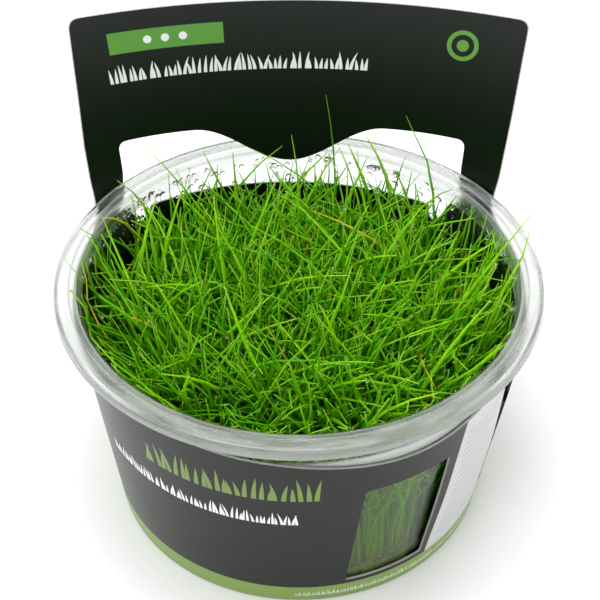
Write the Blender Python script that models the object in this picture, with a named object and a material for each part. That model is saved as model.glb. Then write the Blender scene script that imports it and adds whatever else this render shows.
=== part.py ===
"""Dwarf hairgrass in a clear growing cup, wrapped in a printed card with a stand-up header.

Metres, +Z up. The origin is the centre of the cup's foot, on the surface it stands on.
The front of the cup faces -Y and the header card stands at +Y.
"""
import math
import random

import bmesh
import bpy
from mathutils import Vector

MM = 0.001

# Driving dimensions of the cup, in millimetres
CUP_HEIGHT = 56.0
RIM_RADIUS = 50.5
FOOT_RADIUS = 39.8
TAPER = 0.12
CUP_WALL = 0.7
BASE_RECESS = 1.4
LIP_RADIUS = 45.3
STEP_RADIUS = 46.2
FLANGE_INNER_RADIUS = 47.6
STEP_DEPTH = 0.5
SKIRT_DEPTH = 2.6
SKIRT_FLARE = 0.2
SKIRT_LIP = 0.35
FOOT_RING = (33.4, 38.4)
FOOT_RING_INSIDE = (33.8, 38.3)
RECESS_RADIUS = 31.5
FOOT_CORNER = (39.6, 0.6)
WALL_HEIGHTS = (2.0, 50.0)

# Driving dimensions of the card, in millimetres and degrees
CARD_THICKNESS = 0.5
CARD_CLEARANCE = 0.35
CARD_FOOT = 0.3
CARD_TOP = 50.3
FRONT_CARD_TOP = 48.5
OUTER_END = 103.0
INNER_END = -275.0
OVERLAP_START = 70.0
OVERLAP_FULL = 83.0
FRONT_DIP = 4.5
FRONT_DIP_ANGLE = 33.0
FRONT_DIP_SPREAD = 33.0
FRONT_EASE = (45.0, 85.0)
OUTER_END_SLANT = 4.0
TAB_TOP = 45.6
TAB_RISE = 0.0014
TAB_SLOPE = 0.018
LAP_LIFT = 0.7
LAP_LIFT_START = 88.0
LAP_LIFT_HEIGHTS = (16.0, 46.0)
SIDE_BULGE = 0.6
SIDE_BULGE_ANGLES = (30.0, 48.0, 70.0, 95.0)
SIDE_BULGE_HEIGHTS = (0.0, 22.0, 46.0)
HEADER_TOP = 93.4
HEADER_LEAN = 0.10
HEADER_RADIUS_LOW = 67.0
HEADER_RADIUS_TOP = 76.0
HEADER_TURN = 0.474
HEADER_ENDS_Y = 26.6
HEADER_HALF_LENGTH = 50.0
HEADER_FOOT_SPREAD = 0.93
EDGE_RISE = 0.0017
ARM_LEFT = (-54.0, -44.8)
ARM_RIGHT = (40.4, 50.5)
ARM_LEAVES_WALL = (42.5, 52.2)
ARM_STANDS_FREE = (52.6, 60.0)
ARM_BLEND_INSIDE = 3.2
ARM_BLEND_OUTSIDE = 9.0
ARM_SKIRT_GAP = 0.4
ARM_REACH = 4.0
HEADER_REACH = 8.0
CORNER_RADIUS = 2.4
LOBE_HEIGHT = 62.5
HUMP_CENTRE = -2.7
HUMP_HALF_WIDTH = 23.5
HUMP_DEPTH = 9.5
WINDOW_ANGLES = (15.2, 40.2)
WINDOW_SKEW = 1.7
WINDOW_HEIGHTS = (6.2, 36.8)
WINDOW_CORNER = 0.8
CREASE_HEIGHTS = (42.5, 45.2, 47.4, 49.6, 52.2, 54.4, 57.0, 60.0, 71.0, 82.0)
CREASE_REACH = 60.0

# Driving dimensions of the gel and the grass, in millimetres
GEL_TOP = 8.0
PIECE_GAP = 0.3
TUFT_TOPS = (40.0, 44.5)
TUFT_SIDES = 10
TUFT_FLARE = 0.11
TUFT_GAP = 0.9
TUFT_RINGS = ((0.0, 7.9, 1), (7.9, 22.6, 6), (22.6, 38.2, 12))
SHORT_BLADES = 11
TALL_BLADES = 3
SHORT_BLADE_HEIGHTS = (50.0, 61.0)
TALL_BLADE_HEIGHTS = (61.0, 81.0)
BLADE_REACH = 0.75
BLADE_ROOM = 0.35
BLADE_EDGE = 1.0
BLADE_TRIES = 60
BLADE_BACK = 37.0
BLADE_WALL_GAP = 1.2
BLADE_RIM_GAP = 1.0
OPENING_FRONT = 30.0
SHORT_BLADE_BEND = ((0.42, 0.2, 1.0), (1.0, 1.0, 0.25))
TALL_BLADE_BEND = ((0.3, 0.14, 1.0), (0.68, 0.52, 0.7), (1.0, 1.05, 0.25))
GRASS_SEED = 11

SEGMENTS = 48
STEP_ANGLE = 360.0 / SEGMENTS
UNROLL_RADIUS = 50.9


def clear_scene():
    for item in list(bpy.data.objects):
        bpy.data.objects.remove(item, do_unlink=True)


def smooth(low, high, value):
    """Ease from 0 at low to 1 at high."""
    share = min(max((value - low) / (high - low), 0.0), 1.0)
    return share * share * (3.0 - 2.0 * share)


def material(name, colour, roughness, transmission=0.0):
    made = bpy.data.materials.new(name)
    made.use_nodes = True
    shader = made.node_tree.nodes["Principled BSDF"]
    shader.inputs["Base Color"].default_value = (*colour, 1.0)
    shader.inputs["Roughness"].default_value = roughness
    shader.inputs["Metallic"].default_value = 0.0
    shader.inputs["Transmission Weight"].default_value = transmission
    made.diffuse_color = (*colour, 1.0)
    return made


def add_object(name, mesh_source, finish, smooth_angle):
    bmesh.ops.triangulate(mesh_source, faces=mesh_source.faces[:])
    mesh = bpy.data.meshes.new(name)
    mesh_source.to_mesh(mesh)
    mesh_source.free()
    mesh.materials.append(finish)
    mesh.shade_smooth()
    mesh.set_sharp_from_angle(angle=math.radians(smooth_angle))
    made = bpy.data.objects.new(name, mesh)
    bpy.context.scene.collection.objects.link(made)
    return made


def turned(profile):
    """Turn a profile of (radius, height) points, which starts and ends on the axis, into a closed body."""
    body = bmesh.new()
    rings = []
    for radius, height in profile:
        if radius == 0.0:
            rings.append([body.verts.new((0.0, 0.0, height * MM))])
            continue
        ring = []
        for index in range(SEGMENTS):
            angle = math.radians(index * STEP_ANGLE)
            place = Vector((radius * math.sin(angle), radius * math.cos(angle), height))
            ring.append(body.verts.new(place * MM))
        rings.append(ring)
    for lower, upper in zip(rings, rings[1:]):
        for index in range(SEGMENTS):
            following = (index + 1) % SEGMENTS
            corners = [lower[index % len(lower)], lower[following % len(lower)],
                       upper[following % len(upper)], upper[index % len(upper)]]
            unique = list(dict.fromkeys(corners))
            if len(unique) > 2:
                body.faces.new(unique)
    bmesh.ops.recalc_face_normals(body, faces=body.faces[:])
    return body


def wall_outside(height):
    return FOOT_RADIUS + TAPER * height


def wall_inside(height):
    return wall_outside(height) - CUP_WALL


def cup():
    """The cup's sheet, turned: up the outside, over the rim and its skirt, and down the inside."""
    flange_under = CUP_HEIGHT - CUP_WALL
    step_top = CUP_HEIGHT - STEP_DEPTH
    skirt_foot = CUP_HEIGHT - SKIRT_DEPTH
    skirt_radius = RIM_RADIUS + SKIRT_FLARE
    low, high = WALL_HEIGHTS
    outside = [
        (0.0, BASE_RECESS), (RECESS_RADIUS, BASE_RECESS), (FOOT_RING[0], 0.0), (FOOT_RING[1], 0.0),
        FOOT_CORNER, (wall_outside(low), low), (wall_outside(high), high),
        (LIP_RADIUS + CUP_WALL, step_top - 1.2), (STEP_RADIUS + 0.2, step_top - CUP_WALL),
        (FLANGE_INNER_RADIUS, flange_under), (RIM_RADIUS - CUP_WALL, flange_under),
        (skirt_radius - CUP_WALL, skirt_foot + 0.2), (skirt_radius - SKIRT_LIP, skirt_foot),
    ]
    over_the_rim = [
        (skirt_radius, skirt_foot + 0.25), (RIM_RADIUS, CUP_HEIGHT - 0.4),
        (RIM_RADIUS - SKIRT_LIP, CUP_HEIGHT), (FLANGE_INNER_RADIUS, CUP_HEIGHT),
        (STEP_RADIUS, step_top), (LIP_RADIUS + 0.25, step_top - 0.1), (LIP_RADIUS, step_top - 0.6),
    ]
    floor = BASE_RECESS + CUP_WALL
    inside = [
        (wall_inside(high), high), (wall_inside(low + 0.4), low + 0.4), (FOOT_RING_INSIDE[1], CUP_WALL),
        (FOOT_RING_INSIDE[0], CUP_WALL), (RECESS_RADIUS + 0.4, floor), (0.0, floor),
    ]
    clear = material("clear_plastic", (0.92, 0.95, 0.94), 0.08, transmission=1.0)
    return add_object("cup", turned(outside + over_the_rim + inside), clear, 40.0)


def growing_gel():
    floor = BASE_RECESS + CUP_WALL + PIECE_GAP
    edge = wall_inside(GEL_TOP) - PIECE_GAP
    profile = [
        (0.0, floor), (RECESS_RADIUS + 0.4, floor), (FOOT_RING_INSIDE[0] + 0.1, CUP_WALL + PIECE_GAP),
        (FOOT_RING_INSIDE[1] - PIECE_GAP, CUP_WALL + PIECE_GAP),
        (wall_inside(2.6) - PIECE_GAP, 2.6), (edge, GEL_TOP), (edge - 1.4, GEL_TOP - 0.5),
        (0.0, GEL_TOP - 0.5),
    ]
    gel = material("growing_gel", (0.30, 0.27, 0.12), 0.35)
    return add_object("growing_gel", turned(profile), gel, 40.0)


def from_front(angle):
    """An angle from the front towards +X, as the angle from the rear that the card is laid out by."""
    return -180.0 - angle


def sleeve_top(angle):
    """Height of the wrap's top edge at an angle from the rear; it is lower at the front, and dips there."""
    from_dip = abs((angle - from_front(FRONT_DIP_ANGLE) + 180.0) % 360.0 - 180.0)
    front_share = 1.0 - smooth(*FRONT_EASE, from_dip)
    dip = FRONT_DIP * math.exp(-(from_dip / FRONT_DIP_SPREAD) ** 2)
    return CARD_TOP - (CARD_TOP - FRONT_CARD_TOP) * front_share - dip


def tab_top(angle):
    """Height of the low edge behind the grass, between the two notches."""
    return TAB_TOP + TAB_RISE * angle * angle - TAB_SLOPE * angle


def to_arc(angle):
    return math.radians(angle) * UNROLL_RADIUS


def to_angle(arc):
    return math.degrees(arc / UNROLL_RADIUS)


def rounded(points, steps=3):
    """A closed outline with its corners rounded; a point is (x, y, radius)."""
    result = []
    for index, point in enumerate(points):
        corner = Vector(point[:2])
        size = point[2]
        before = Vector(points[index - 1][:2])
        after = Vector(points[(index + 1) % len(points)][:2])
        if size == 0.0:
            result.append(corner)
            continue
        start = corner + (before - corner).normalized() * size
        end = corner + (after - corner).normalized() * size
        for step in range(steps + 1):
            share = step / steps
            near = start.lerp(corner, share)
            far = corner.lerp(end, share)
            result.append(near.lerp(far, share))
    return result


def header_line(arc, height):
    """A line across the header runs level on the die-cut card, and rises to its ends once it is bent."""
    return (arc, height + EDGE_RISE * arc * arc, 0.0)


def blank_outline():
    """The die-cut card laid flat: arc length from the rear centre along x, height along y."""
    outline = [(to_arc(OUTER_END - OUTER_END_SLANT), CARD_FOOT, 0.0),
               (to_arc(OUTER_END), sleeve_top(OUTER_END), 0.0)]
    angle = OUTER_END - STEP_ANGLE
    while angle > to_angle(ARM_RIGHT[1]) + 6.0:
        outline.append((to_arc(angle), sleeve_top(angle), 0.0))
        angle -= STEP_ANGLE
    outline.append((ARM_RIGHT[1] + 0.2, CARD_TOP, 2.0))
    outline.append((50.5, 75.0, 0.0))
    outline.append((49.9, HEADER_TOP + EDGE_RISE * 49.9 ** 2, CORNER_RADIUS))
    for arc in (36.0, 24.0, 12.0, 0.0, -12.0, -24.0, -36.0):
        outline.append(header_line(arc, HEADER_TOP))
    outline.append((-50.6, HEADER_TOP + EDGE_RISE * 50.6 ** 2, CORNER_RADIUS))
    outline.append((-52.1, 80.0, 0.0))
    outline.append((-53.3, 68.0, 0.0))
    outline.append((ARM_LEFT[0] - 0.1, CARD_TOP, 2.0))
    angle = -math.floor(-(to_angle(ARM_LEFT[0]) - 6.0) / STEP_ANGLE) * STEP_ANGLE - STEP_ANGLE
    while angle > INNER_END + 1.0:
        outline.append((to_arc(angle), sleeve_top(angle), 0.0))
        angle -= STEP_ANGLE
    outline.append((to_arc(INNER_END), sleeve_top(INNER_END), 0.0))
    outline.append((to_arc(INNER_END), CARD_FOOT, 0.0))
    return rounded(outline)


def opening_outline():
    """The opening under the header: two lobes round a hump, and a notch at each arm's foot."""
    left = ARM_LEFT[1]
    right = ARM_RIGHT[0]
    outline = [(left, LOBE_HEIGHT + EDGE_RISE * left * left, 2.2)]
    steps = 12
    for index in range(steps + 1):
        share = -1.0 + 2.0 * index / steps
        arc = HUMP_CENTRE + share * HUMP_HALF_WIDTH
        drop = HUMP_DEPTH * 0.5 * (1.0 + math.cos(math.pi * share))
        outline.append(header_line(arc, LOBE_HEIGHT - drop))
    outline.append((right, LOBE_HEIGHT + EDGE_RISE * right * right, 2.2))
    outline.append((right + 0.2, 53.0, 0.0))
    outline.append((to_arc(45.0), 45.6, 1.0))
    outline.append((to_arc(42.6), 43.6, 1.0))
    outline.append((to_arc(40.6), 44.6, 0.8))
    outline.append((to_arc(40.2), tab_top(40.2), 0.7))
    for angle in (30.0, 15.0, 0.0, -15.0, -30.0):
        outline.append((to_arc(angle), tab_top(angle), 0.0))
    outline.append((to_arc(-46.4), tab_top(-46.4), 0.7))
    outline.append((to_arc(-47.4), 47.2, 0.8))
    outline.append((to_arc(-49.6), 46.1, 1.0))
    outline.append((to_arc(-51.0), 48.0, 0.8))
    outline.append((left - 0.2, 53.0, 0.0))
    return rounded(outline)


def window_outline():
    """The die-cut window, whose sides lean towards +X at their tops."""
    low, high = WINDOW_HEIGHTS
    left, right = WINDOW_ANGLES
    corners = []
    for angle, height in ((left - WINDOW_SKEW, low), (right - WINDOW_SKEW, low),
                          (right + WINDOW_SKEW, high), (left + WINDOW_SKEW, high)):
        corners.append((to_arc(from_front(angle)), height, WINDOW_CORNER))
    return rounded(corners, steps=2)


def arm_share(arc, reach):
    """1 on either arm, easing to 0 over a distance beside it."""
    best = 0.0
    for low, high in (ARM_LEFT, ARM_RIGHT):
        outside = max(low - arc, arc - high, 0.0)
        best = max(best, 1.0 - smooth(0.0, reach, outside))
    return best


def side_bulge(angle, height):
    """How far the card stands off the wall beside the window, where nothing presses it on."""
    start, full, ending, end = SIDE_BULGE_ANGLES
    low, middle, high = SIDE_BULGE_HEIGHTS
    from_the_front = from_front(angle) % 360.0
    around = smooth(start, full, from_the_front) - smooth(ending, end, from_the_front)
    return SIDE_BULGE * around * (smooth(low, middle, height) - smooth(middle, high, height))


def wrapped(arc, height):
    """Inner face of the wrap: a cone that hugs the cup, leaves it at the arms, and overlaps itself."""
    angle = math.radians(to_angle(arc))
    radius = wall_outside(height) + CARD_CLEARANCE + side_bulge(to_angle(arc), height)
    outside_skirt = RIM_RADIUS + SKIRT_FLARE + ARM_SKIRT_GAP
    inside = ARM_LEFT[1] < arc < ARM_RIGHT[0]
    blend = ARM_BLEND_INSIDE if inside else ARM_BLEND_OUTSIDE
    radius += (outside_skirt - radius) * arm_share(arc, blend) * smooth(*ARM_LEAVES_WALL, height)
    degrees_round = to_angle(arc)
    lap = smooth(OVERLAP_START, OVERLAP_FULL, degrees_round)
    lift = LAP_LIFT * smooth(LAP_LIFT_START, OUTER_END, degrees_round) * smooth(*LAP_LIFT_HEIGHTS, height)
    radius += lap * (CARD_THICKNESS + PIECE_GAP) + lift
    return Vector((radius * math.sin(angle), radius * math.cos(angle), height))


def standing(arc, height):
    """Inner face of the header: a sheet whose bend opens out towards its top."""
    share = (height - CUP_HEIGHT) / (HEADER_TOP - CUP_HEIGHT)
    share = min(max(share, -0.3), 1.3)
    radius = 1.0 / ((1.0 - share) / HEADER_RADIUS_LOW + share / HEADER_RADIUS_TOP)
    length = arc * (HEADER_FOOT_SPREAD + (1.0 - HEADER_FOOT_SPREAD) * share)
    turn = math.radians(HEADER_TURN)
    bow = radius * (1.0 - math.cos(HEADER_HALF_LENGTH / radius))
    middle = HEADER_ENDS_Y + HEADER_LEAN * (height - CUP_HEIGHT) + bow
    centre = Vector((math.sin(turn), math.cos(turn), 0.0)) * (middle - radius)
    angle = length / radius + turn
    return centre + Vector((radius * math.sin(angle), radius * math.cos(angle), height))


def card_point(arc, height):
    if ARM_LEFT[1] + HEADER_REACH < arc < ARM_RIGHT[0] - ARM_REACH:
        share = 1.0 if height > CARD_TOP else 0.0
    elif ARM_LEFT[0] - ARM_REACH < arc < ARM_RIGHT[1] + ARM_REACH:
        share = smooth(*ARM_STANDS_FREE, height)
    else:
        share = 0.0
    return wrapped(arc, height).lerp(standing(arc, height), share)


def card_normal(arc, height):
    across = card_point(arc + 0.05, height) - card_point(arc - 0.05, height)
    upward = card_point(arc, height + 0.05) - card_point(arc, height - 0.05)
    return upward.cross(across).normalized()


def prism(name, outline, low, high):
    """A closed prism over a flat outline, as a cutter or a blank."""
    shape = bmesh.new()
    face = shape.faces.new([shape.verts.new((point.x, point.y, low)) for point in outline])
    raised = bmesh.ops.extrude_face_region(shape, geom=[face])
    moved = [item for item in raised["geom"] if isinstance(item, bmesh.types.BMVert)]
    bmesh.ops.translate(shape, verts=moved, vec=(0.0, 0.0, high - low))
    bmesh.ops.recalc_face_normals(shape, faces=shape.faces[:])
    mesh = bpy.data.meshes.new(name)
    shape.to_mesh(mesh)
    shape.free()
    made = bpy.data.objects.new(name, mesh)
    bpy.context.scene.collection.objects.link(made)
    return made


def cut_blank():
    """The flat card with its opening and its window cut out, as a bmesh."""
    blank = prism("blank", blank_outline(), 0.0, CARD_THICKNESS)
    cutters = [prism("opening_cutter", opening_outline(), -1.0, CARD_THICKNESS + 1.0),
               prism("window_cutter", window_outline(), -1.0, CARD_THICKNESS + 1.0)]
    for cutter in cutters:
        cutter.hide_render = True
        cutter.display_type = "WIRE"
        cut = blank.modifiers.new(cutter.name, "BOOLEAN")
        cut.operation = "DIFFERENCE"
        cut.object = cutter
    bpy.context.view_layer.update()
    evaluated = blank.evaluated_get(bpy.context.evaluated_depsgraph_get())
    flat = bmesh.new()
    flat.from_mesh(evaluated.to_mesh())
    evaluated.to_mesh_clear()
    for item in [blank] + cutters:
        bpy.data.objects.remove(item, do_unlink=True)
    return flat


def crease(flat, arcs, heights):
    """Cut the flat card along its bend lines, so that it can follow the curves."""
    for arc in arcs:
        everything = flat.verts[:] + flat.edges[:] + flat.faces[:]
        bmesh.ops.bisect_plane(flat, geom=everything, dist=1e-5,
                               plane_co=(arc, 0.0, 0.0), plane_no=(1.0, 0.0, 0.0))
    for height in heights:
        band = [face for face in flat.faces if abs(face.calc_center_median().x) < CREASE_REACH]
        touched = {vert for face in band for vert in face.verts}
        edges = {edge for face in band for edge in face.edges}
        bmesh.ops.bisect_plane(flat, geom=list(touched) + list(edges) + band, dist=1e-5,
                               plane_co=(0.0, height, 0.0), plane_no=(0.0, 1.0, 0.0))


def card_sleeve():
    flat = cut_blank()
    bends = [to_arc(index * STEP_ANGLE) for index in range(-36, 14)]
    beside_arms = [ARM_LEFT[0] - 4.5, ARM_LEFT[0] - 0.2, ARM_LEFT[1] + 1.6, ARM_RIGHT[0] - 1.6,
                   ARM_RIGHT[1] + 0.4, ARM_RIGHT[1] + 4.5]
    crease(flat, bends + beside_arms, CREASE_HEIGHTS)
    bmesh.ops.triangulate(flat, faces=flat.faces[:])
    for vert in flat.verts:
        arc, height, depth = vert.co
        vert.co = (card_point(arc, height) + card_normal(arc, height) * depth) * MM
    bmesh.ops.remove_doubles(flat, verts=flat.verts[:], dist=1e-6)
    bmesh.ops.recalc_face_normals(flat, faces=flat.faces[:])
    card = material("printed_card", (0.045, 0.05, 0.05), 0.42)
    return add_object("card_sleeve", flat, card, 30.0)


def segment_distance(start_a, end_a, start_b, end_b):
    """Shortest distance between two segments."""
    along_a = end_a - start_a
    along_b = end_b - start_b
    between = start_a - start_b
    aa = along_a.dot(along_a)
    bb = along_b.dot(along_b)
    ab = along_a.dot(along_b)
    a_between = along_a.dot(between)
    b_between = along_b.dot(between)
    spread = aa * bb - ab * ab
    share_a = 0.0 if spread < 1e-9 else min(max((ab * b_between - a_between * bb) / spread, 0.0), 1.0)
    share_b = min(max((ab * share_a + b_between) / bb, 0.0), 1.0)
    share_a = min(max((ab * share_b - a_between) / aa, 0.0), 1.0)
    return (between + along_a * share_a - along_b * share_b).length


def inside_cup(point):
    """Whether a blade may pass here: clear of the wall, the rim, the header and the opening beneath it."""
    radius = math.hypot(point.x, point.y)
    if point.z > CUP_HEIGHT - BLADE_RIM_GAP:
        return radius < RIM_RADIUS - BLADE_RIM_GAP and point.y < OPENING_FRONT
    beside_wall = wall_inside(min(point.z, WALL_HEIGHTS[1])) - BLADE_WALL_GAP
    return radius < beside_wall and (point.y < BLADE_BACK or point.z < TAB_TOP)


def blade_path(rng, root, height, bend):
    """The straight stretches of one blade, from its root to its tip, leaning out and arching over."""
    heading = rng.uniform(0.0, math.tau)
    lean = Vector((math.cos(heading), math.sin(heading), 0.0)) * rng.uniform(0.05, 0.6)
    lean += Vector((root.x, root.y, 0.0)) * 0.006
    rise = height - root.z
    return [root] + [root + Vector((lean.x * sway, lean.y * sway, share)) * rise for share, sway, _ in bend]


def stretches(path):
    """A blade's stretches, each with its widest reach from its centre line."""
    reaches = (BLADE_REACH * 1.3, BLADE_REACH, BLADE_REACH * 0.7)
    return zip(path, path[1:], reaches)


def clear_of(path, others):
    """Whether a blade stays clear of all the blades that stand already."""
    for other in others:
        for start, end, reach in stretches(path):
            for other_start, other_end, other_reach in stretches(other):
                room = reach + other_reach + BLADE_ROOM
                if segment_distance(start, end, other_start, other_end) < room:
                    return False
    return True


def flare_at(height):
    """How far the grass has spread from the cup's axis at a height, next to its spread on the gel."""
    return 1.0 + TUFT_FLARE * (height - GEL_TOP) / (TUFT_TOPS[1] - GEL_TOP)


class Plot:
    """The share of the gel that one tuft holds: a sector of a ring, or the round middle."""

    def __init__(self, inner, outer, middle_angle, half_angle):
        self.inner = inner
        self.outer = outer
        self.middle_angle = middle_angle
        self.half_angle = half_angle

    def point(self, across, around, height):
        """A point at a share of the plot's half width and half length, from -1 to 1 each."""
        if self.inner == 0.0:
            spread = self.outer - TUFT_GAP / 2.0
            place = Vector((across * spread, around * spread, 0.0)) / max(math.hypot(across, around), 1.0)
        else:
            middle = (self.inner + self.outer) / 2.0
            radius = middle + across * (self.outer - self.inner - TUFT_GAP) / 2.0
            angle = self.middle_angle + around * (self.half_angle - TUFT_GAP / 2.0 / self.inner)
            place = Vector((radius * math.sin(angle), radius * math.cos(angle), 0.0))
        return place * flare_at(height) + Vector((0.0, 0.0, height))

    def holds(self, point, margin):
        """Whether a point lies over this plot, with a margin to its edges."""
        radius = math.hypot(point.x, point.y) / flare_at(point.z)
        if self.inner == 0.0:
            return radius < self.outer - margin
        angle = math.atan2(point.x, point.y) - self.middle_angle
        angle = abs((angle + math.pi) % math.tau - math.pi)
        within = self.inner + margin < radius < self.outer - margin
        return within and angle < self.half_angle - margin / radius


def plots():
    for inner, outer, count in TUFT_RINGS:
        for index in range(count):
            yield Plot(inner, outer, math.tau * (index + 0.5) / count, math.pi / count)


def squared(share):
    """A share of a circle's width, pushed out towards the corner of the square round it."""
    return math.copysign(abs(share) ** 0.4, share)


def sheaf(plot, rng):
    """One tuft's blades as they stand together: a bundle that flares from its foot to a ragged top."""
    shape = bmesh.new()
    foot = GEL_TOP + PIECE_GAP
    top = rng.uniform(*TUFT_TOPS)
    rings = []
    for share, width, ragged in ((0.0, 0.84, 0.0), (0.14, 1.0, 0.0), (0.9, 0.98, 3.0), (1.0, 0.5, 2.5)):
        ring = []
        for side in range(TUFT_SIDES):
            angle = math.tau * (side + 0.5) / TUFT_SIDES
            reach = width * rng.uniform(0.93, 1.0)
            height = foot + (top - foot) * share - rng.uniform(0.0, ragged)
            ring.append(shape.verts.new(plot.point(
                squared(math.cos(angle)) * reach, squared(math.sin(angle)) * reach, height)))
        rings.append(ring)
    shape.faces.new(rings[0])
    peak = shape.verts.new(plot.point(0.0, 0.0, top))
    for side in range(TUFT_SIDES):
        following = (side + 1) % TUFT_SIDES
        for lower, upper in zip(rings, rings[1:]):
            shape.faces.new((lower[side], upper[side], upper[following]))
            shape.faces.new((lower[side], upper[following], lower[following]))
        shape.faces.new((rings[-1][side], peak, rings[-1][following]))
    bmesh.ops.recalc_face_normals(shape, faces=shape.faces[:])
    shape.verts.index_update()
    return shape


def grow_blade(shape, face, path, bend):
    """Draw one face of the tuft's top out into a three-sided blade that narrows to its tip."""
    first = (face.verts[0].co - face.calc_center_median()).normalized()
    side = face.normal.cross(first)
    corners = [first * math.cos(turn) + side * math.sin(turn) for turn in (0.0, math.tau / 3, -math.tau / 3)]
    upright = face.normal.copy()
    for before, place, (_, _, scale) in zip(path, path[1:], bend):
        face = bmesh.ops.extrude_discrete_faces(shape, faces=[face])["faces"][0]
        lean = upright.rotation_difference(place - before)
        for vert, corner in zip(face.verts, corners):
            vert.co = place + lean @ corner * BLADE_REACH * scale


def may_grow(path, plot, standing_blades):
    """Whether a blade stays over its own tuft while it is low, inside the cup, and clear of other blades."""
    for start, end in zip(path, path[1:]):
        for quarter in range(5):
            point = start.lerp(end, quarter / 4.0)
            if point.z < TUFT_TOPS[1] + 1.0 and not plot.holds(point, BLADE_EDGE):
                return False
            if not inside_cup(point):
                return False
    return clear_of(path, standing_blades)


def tuft(name, plot, rng, standing_blades, finish):
    shape = sheaf(plot, rng)
    upper = [(face, face.calc_center_median(), {vert.index for vert in face.verts})
             for face in shape.faces if face.normal.z > 0.3]
    rng.shuffle(upper)
    wanted = [(TALL_BLADE_BEND, TALL_BLADE_HEIGHTS)] * TALL_BLADES
    wanted += [(SHORT_BLADE_BEND, SHORT_BLADE_HEIGHTS)] * SHORT_BLADES
    used = []
    for face, root, corners in upper:
        if not wanted or any(len(corners & others) > 1 for others in used):
            continue
        bend, heights = wanted[0]
        for _ in range(BLADE_TRIES):
            path = blade_path(rng, root, rng.uniform(*heights), bend)
            if may_grow(path, plot, standing_blades):
                grow_blade(shape, face, path, bend)
                standing_blades.append(path)
                used.append(corners)
                wanted.pop(0)
                break
    for vert in shape.verts:
        vert.co *= MM
    return add_object(name, shape, finish, 35.0)


def hairgrass():
    rng = random.Random(GRASS_SEED)
    finish = material("hairgrass", (0.10, 0.38, 0.02), 0.5)
    standing_blades = []
    for number, plot in enumerate(plots(), start=1):
        tuft(f"tuft_{number:02d}", plot, rng, standing_blades, finish)


def main():
    clear_scene()
    cup()
    growing_gel()
    card_sleeve()
    hairgrass()


main()
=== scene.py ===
"""Dwarf hairgrass in its clear growing cup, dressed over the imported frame.

The cup, the printed card sleeve, the gel, every tuft of fine blades and the water drops are made here.
Named lengths and the functions that shape the cup, the gel and the card are in millimetres, as in the part
itself, and so is the card's flat layout that its print reads. Settings, node trees and meshes are in metres.
"""

import math
from typing import NamedTuple

import bmesh
import bpy
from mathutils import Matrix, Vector
from mathutils.geometry import delaunay_2d_cdt, intersect_point_line


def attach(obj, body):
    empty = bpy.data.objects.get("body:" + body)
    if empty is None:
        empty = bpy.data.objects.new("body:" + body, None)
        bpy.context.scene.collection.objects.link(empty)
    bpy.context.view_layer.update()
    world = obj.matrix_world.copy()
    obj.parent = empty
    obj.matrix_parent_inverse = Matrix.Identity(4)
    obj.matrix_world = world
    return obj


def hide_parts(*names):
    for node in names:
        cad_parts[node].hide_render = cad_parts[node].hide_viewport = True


bl_info = {
    "name": "Potted Dwarf Hairgrass",
    "version": (1, 0, 0),
    "blender": (4, 5, 0),
    "location": "View3D > Sidebar > Hairgrass",
    "description": "Dresses a cup of dwarf hairgrass: clear cup, printed card, gel, fine blades and dew",
    "category": "Add Mesh",
}

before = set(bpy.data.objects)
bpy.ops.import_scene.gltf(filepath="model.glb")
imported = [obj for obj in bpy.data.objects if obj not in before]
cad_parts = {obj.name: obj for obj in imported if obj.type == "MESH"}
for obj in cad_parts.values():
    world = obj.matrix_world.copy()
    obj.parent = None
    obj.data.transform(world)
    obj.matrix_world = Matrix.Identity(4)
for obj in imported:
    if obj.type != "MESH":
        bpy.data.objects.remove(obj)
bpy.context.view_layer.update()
TUFT_NODES = sorted(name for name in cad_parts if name.startswith("tuft_"))

MM = 0.001

# The cup
CUP_HEIGHT = 56.0
RIM_RADIUS = 50.5
FOOT_RADIUS = 39.8
TAPER = 0.12
CUP_WALL = 0.7
BASE_RECESS = 1.4
LIP_RADIUS = 45.3
STEP_RADIUS = 46.2
FLANGE_INNER_RADIUS = 47.6
STEP_DEPTH = 0.5
SKIRT_DEPTH = 2.6
SKIRT_FLARE = 0.2
SKIRT_LIP = 0.35
FOOT_RING = (33.4, 38.4)
FOOT_RING_INSIDE = (33.8, 38.3)
RECESS_RADIUS = 31.5
FOOT_CORNER = (39.6, 0.6)
WALL_HEIGHTS = (2.0, 50.0)
RIM_FROM = (45.8, 51.5)

# The cup's clouding, with its painted reflection and painted shade: heights and radii, with angles from the
# front in radians
STRIP_HEIGHTS = (42.5, 47.0)
STRIP_FADE = (0.7, 1.5)
STRIP_CLOUDING = 0.42
# A painted reflection of the lit floor in the wall beside the window, laid on as a misted patch that ends at
# a sharp edge
SHEEN_PATCH_ANGLES = (0.0, math.radians(33.8))
SHEEN_PATCH_HEIGHTS = (3.0, 41.0)
SHEEN_PATCH_CLOUDING = 0.06
SHEEN_PATCH_RUNS = (32.0, 38.0)
# The skirt's painted shade: darker grey at the front, fading behind and above the skirt
SKIRT_SHADE_ANGLES = (1.0, 1.9)
SKIRT_SHADE_BEHIND = 0.12
SKIRT_SHADE_HEIGHTS = (53.2, 55.8)
SKIRT_SHADE_ABOVE = 0.08
SKIRT_CLEARNESS = 0.3
FLANGE_RINGS = ((46.0, 46.4), (47.4, 47.7))
RING_CLOUDING = 0.5
STREAKS_ROUND = 5.0
STREAKS_ACROSS = 620.0

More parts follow.
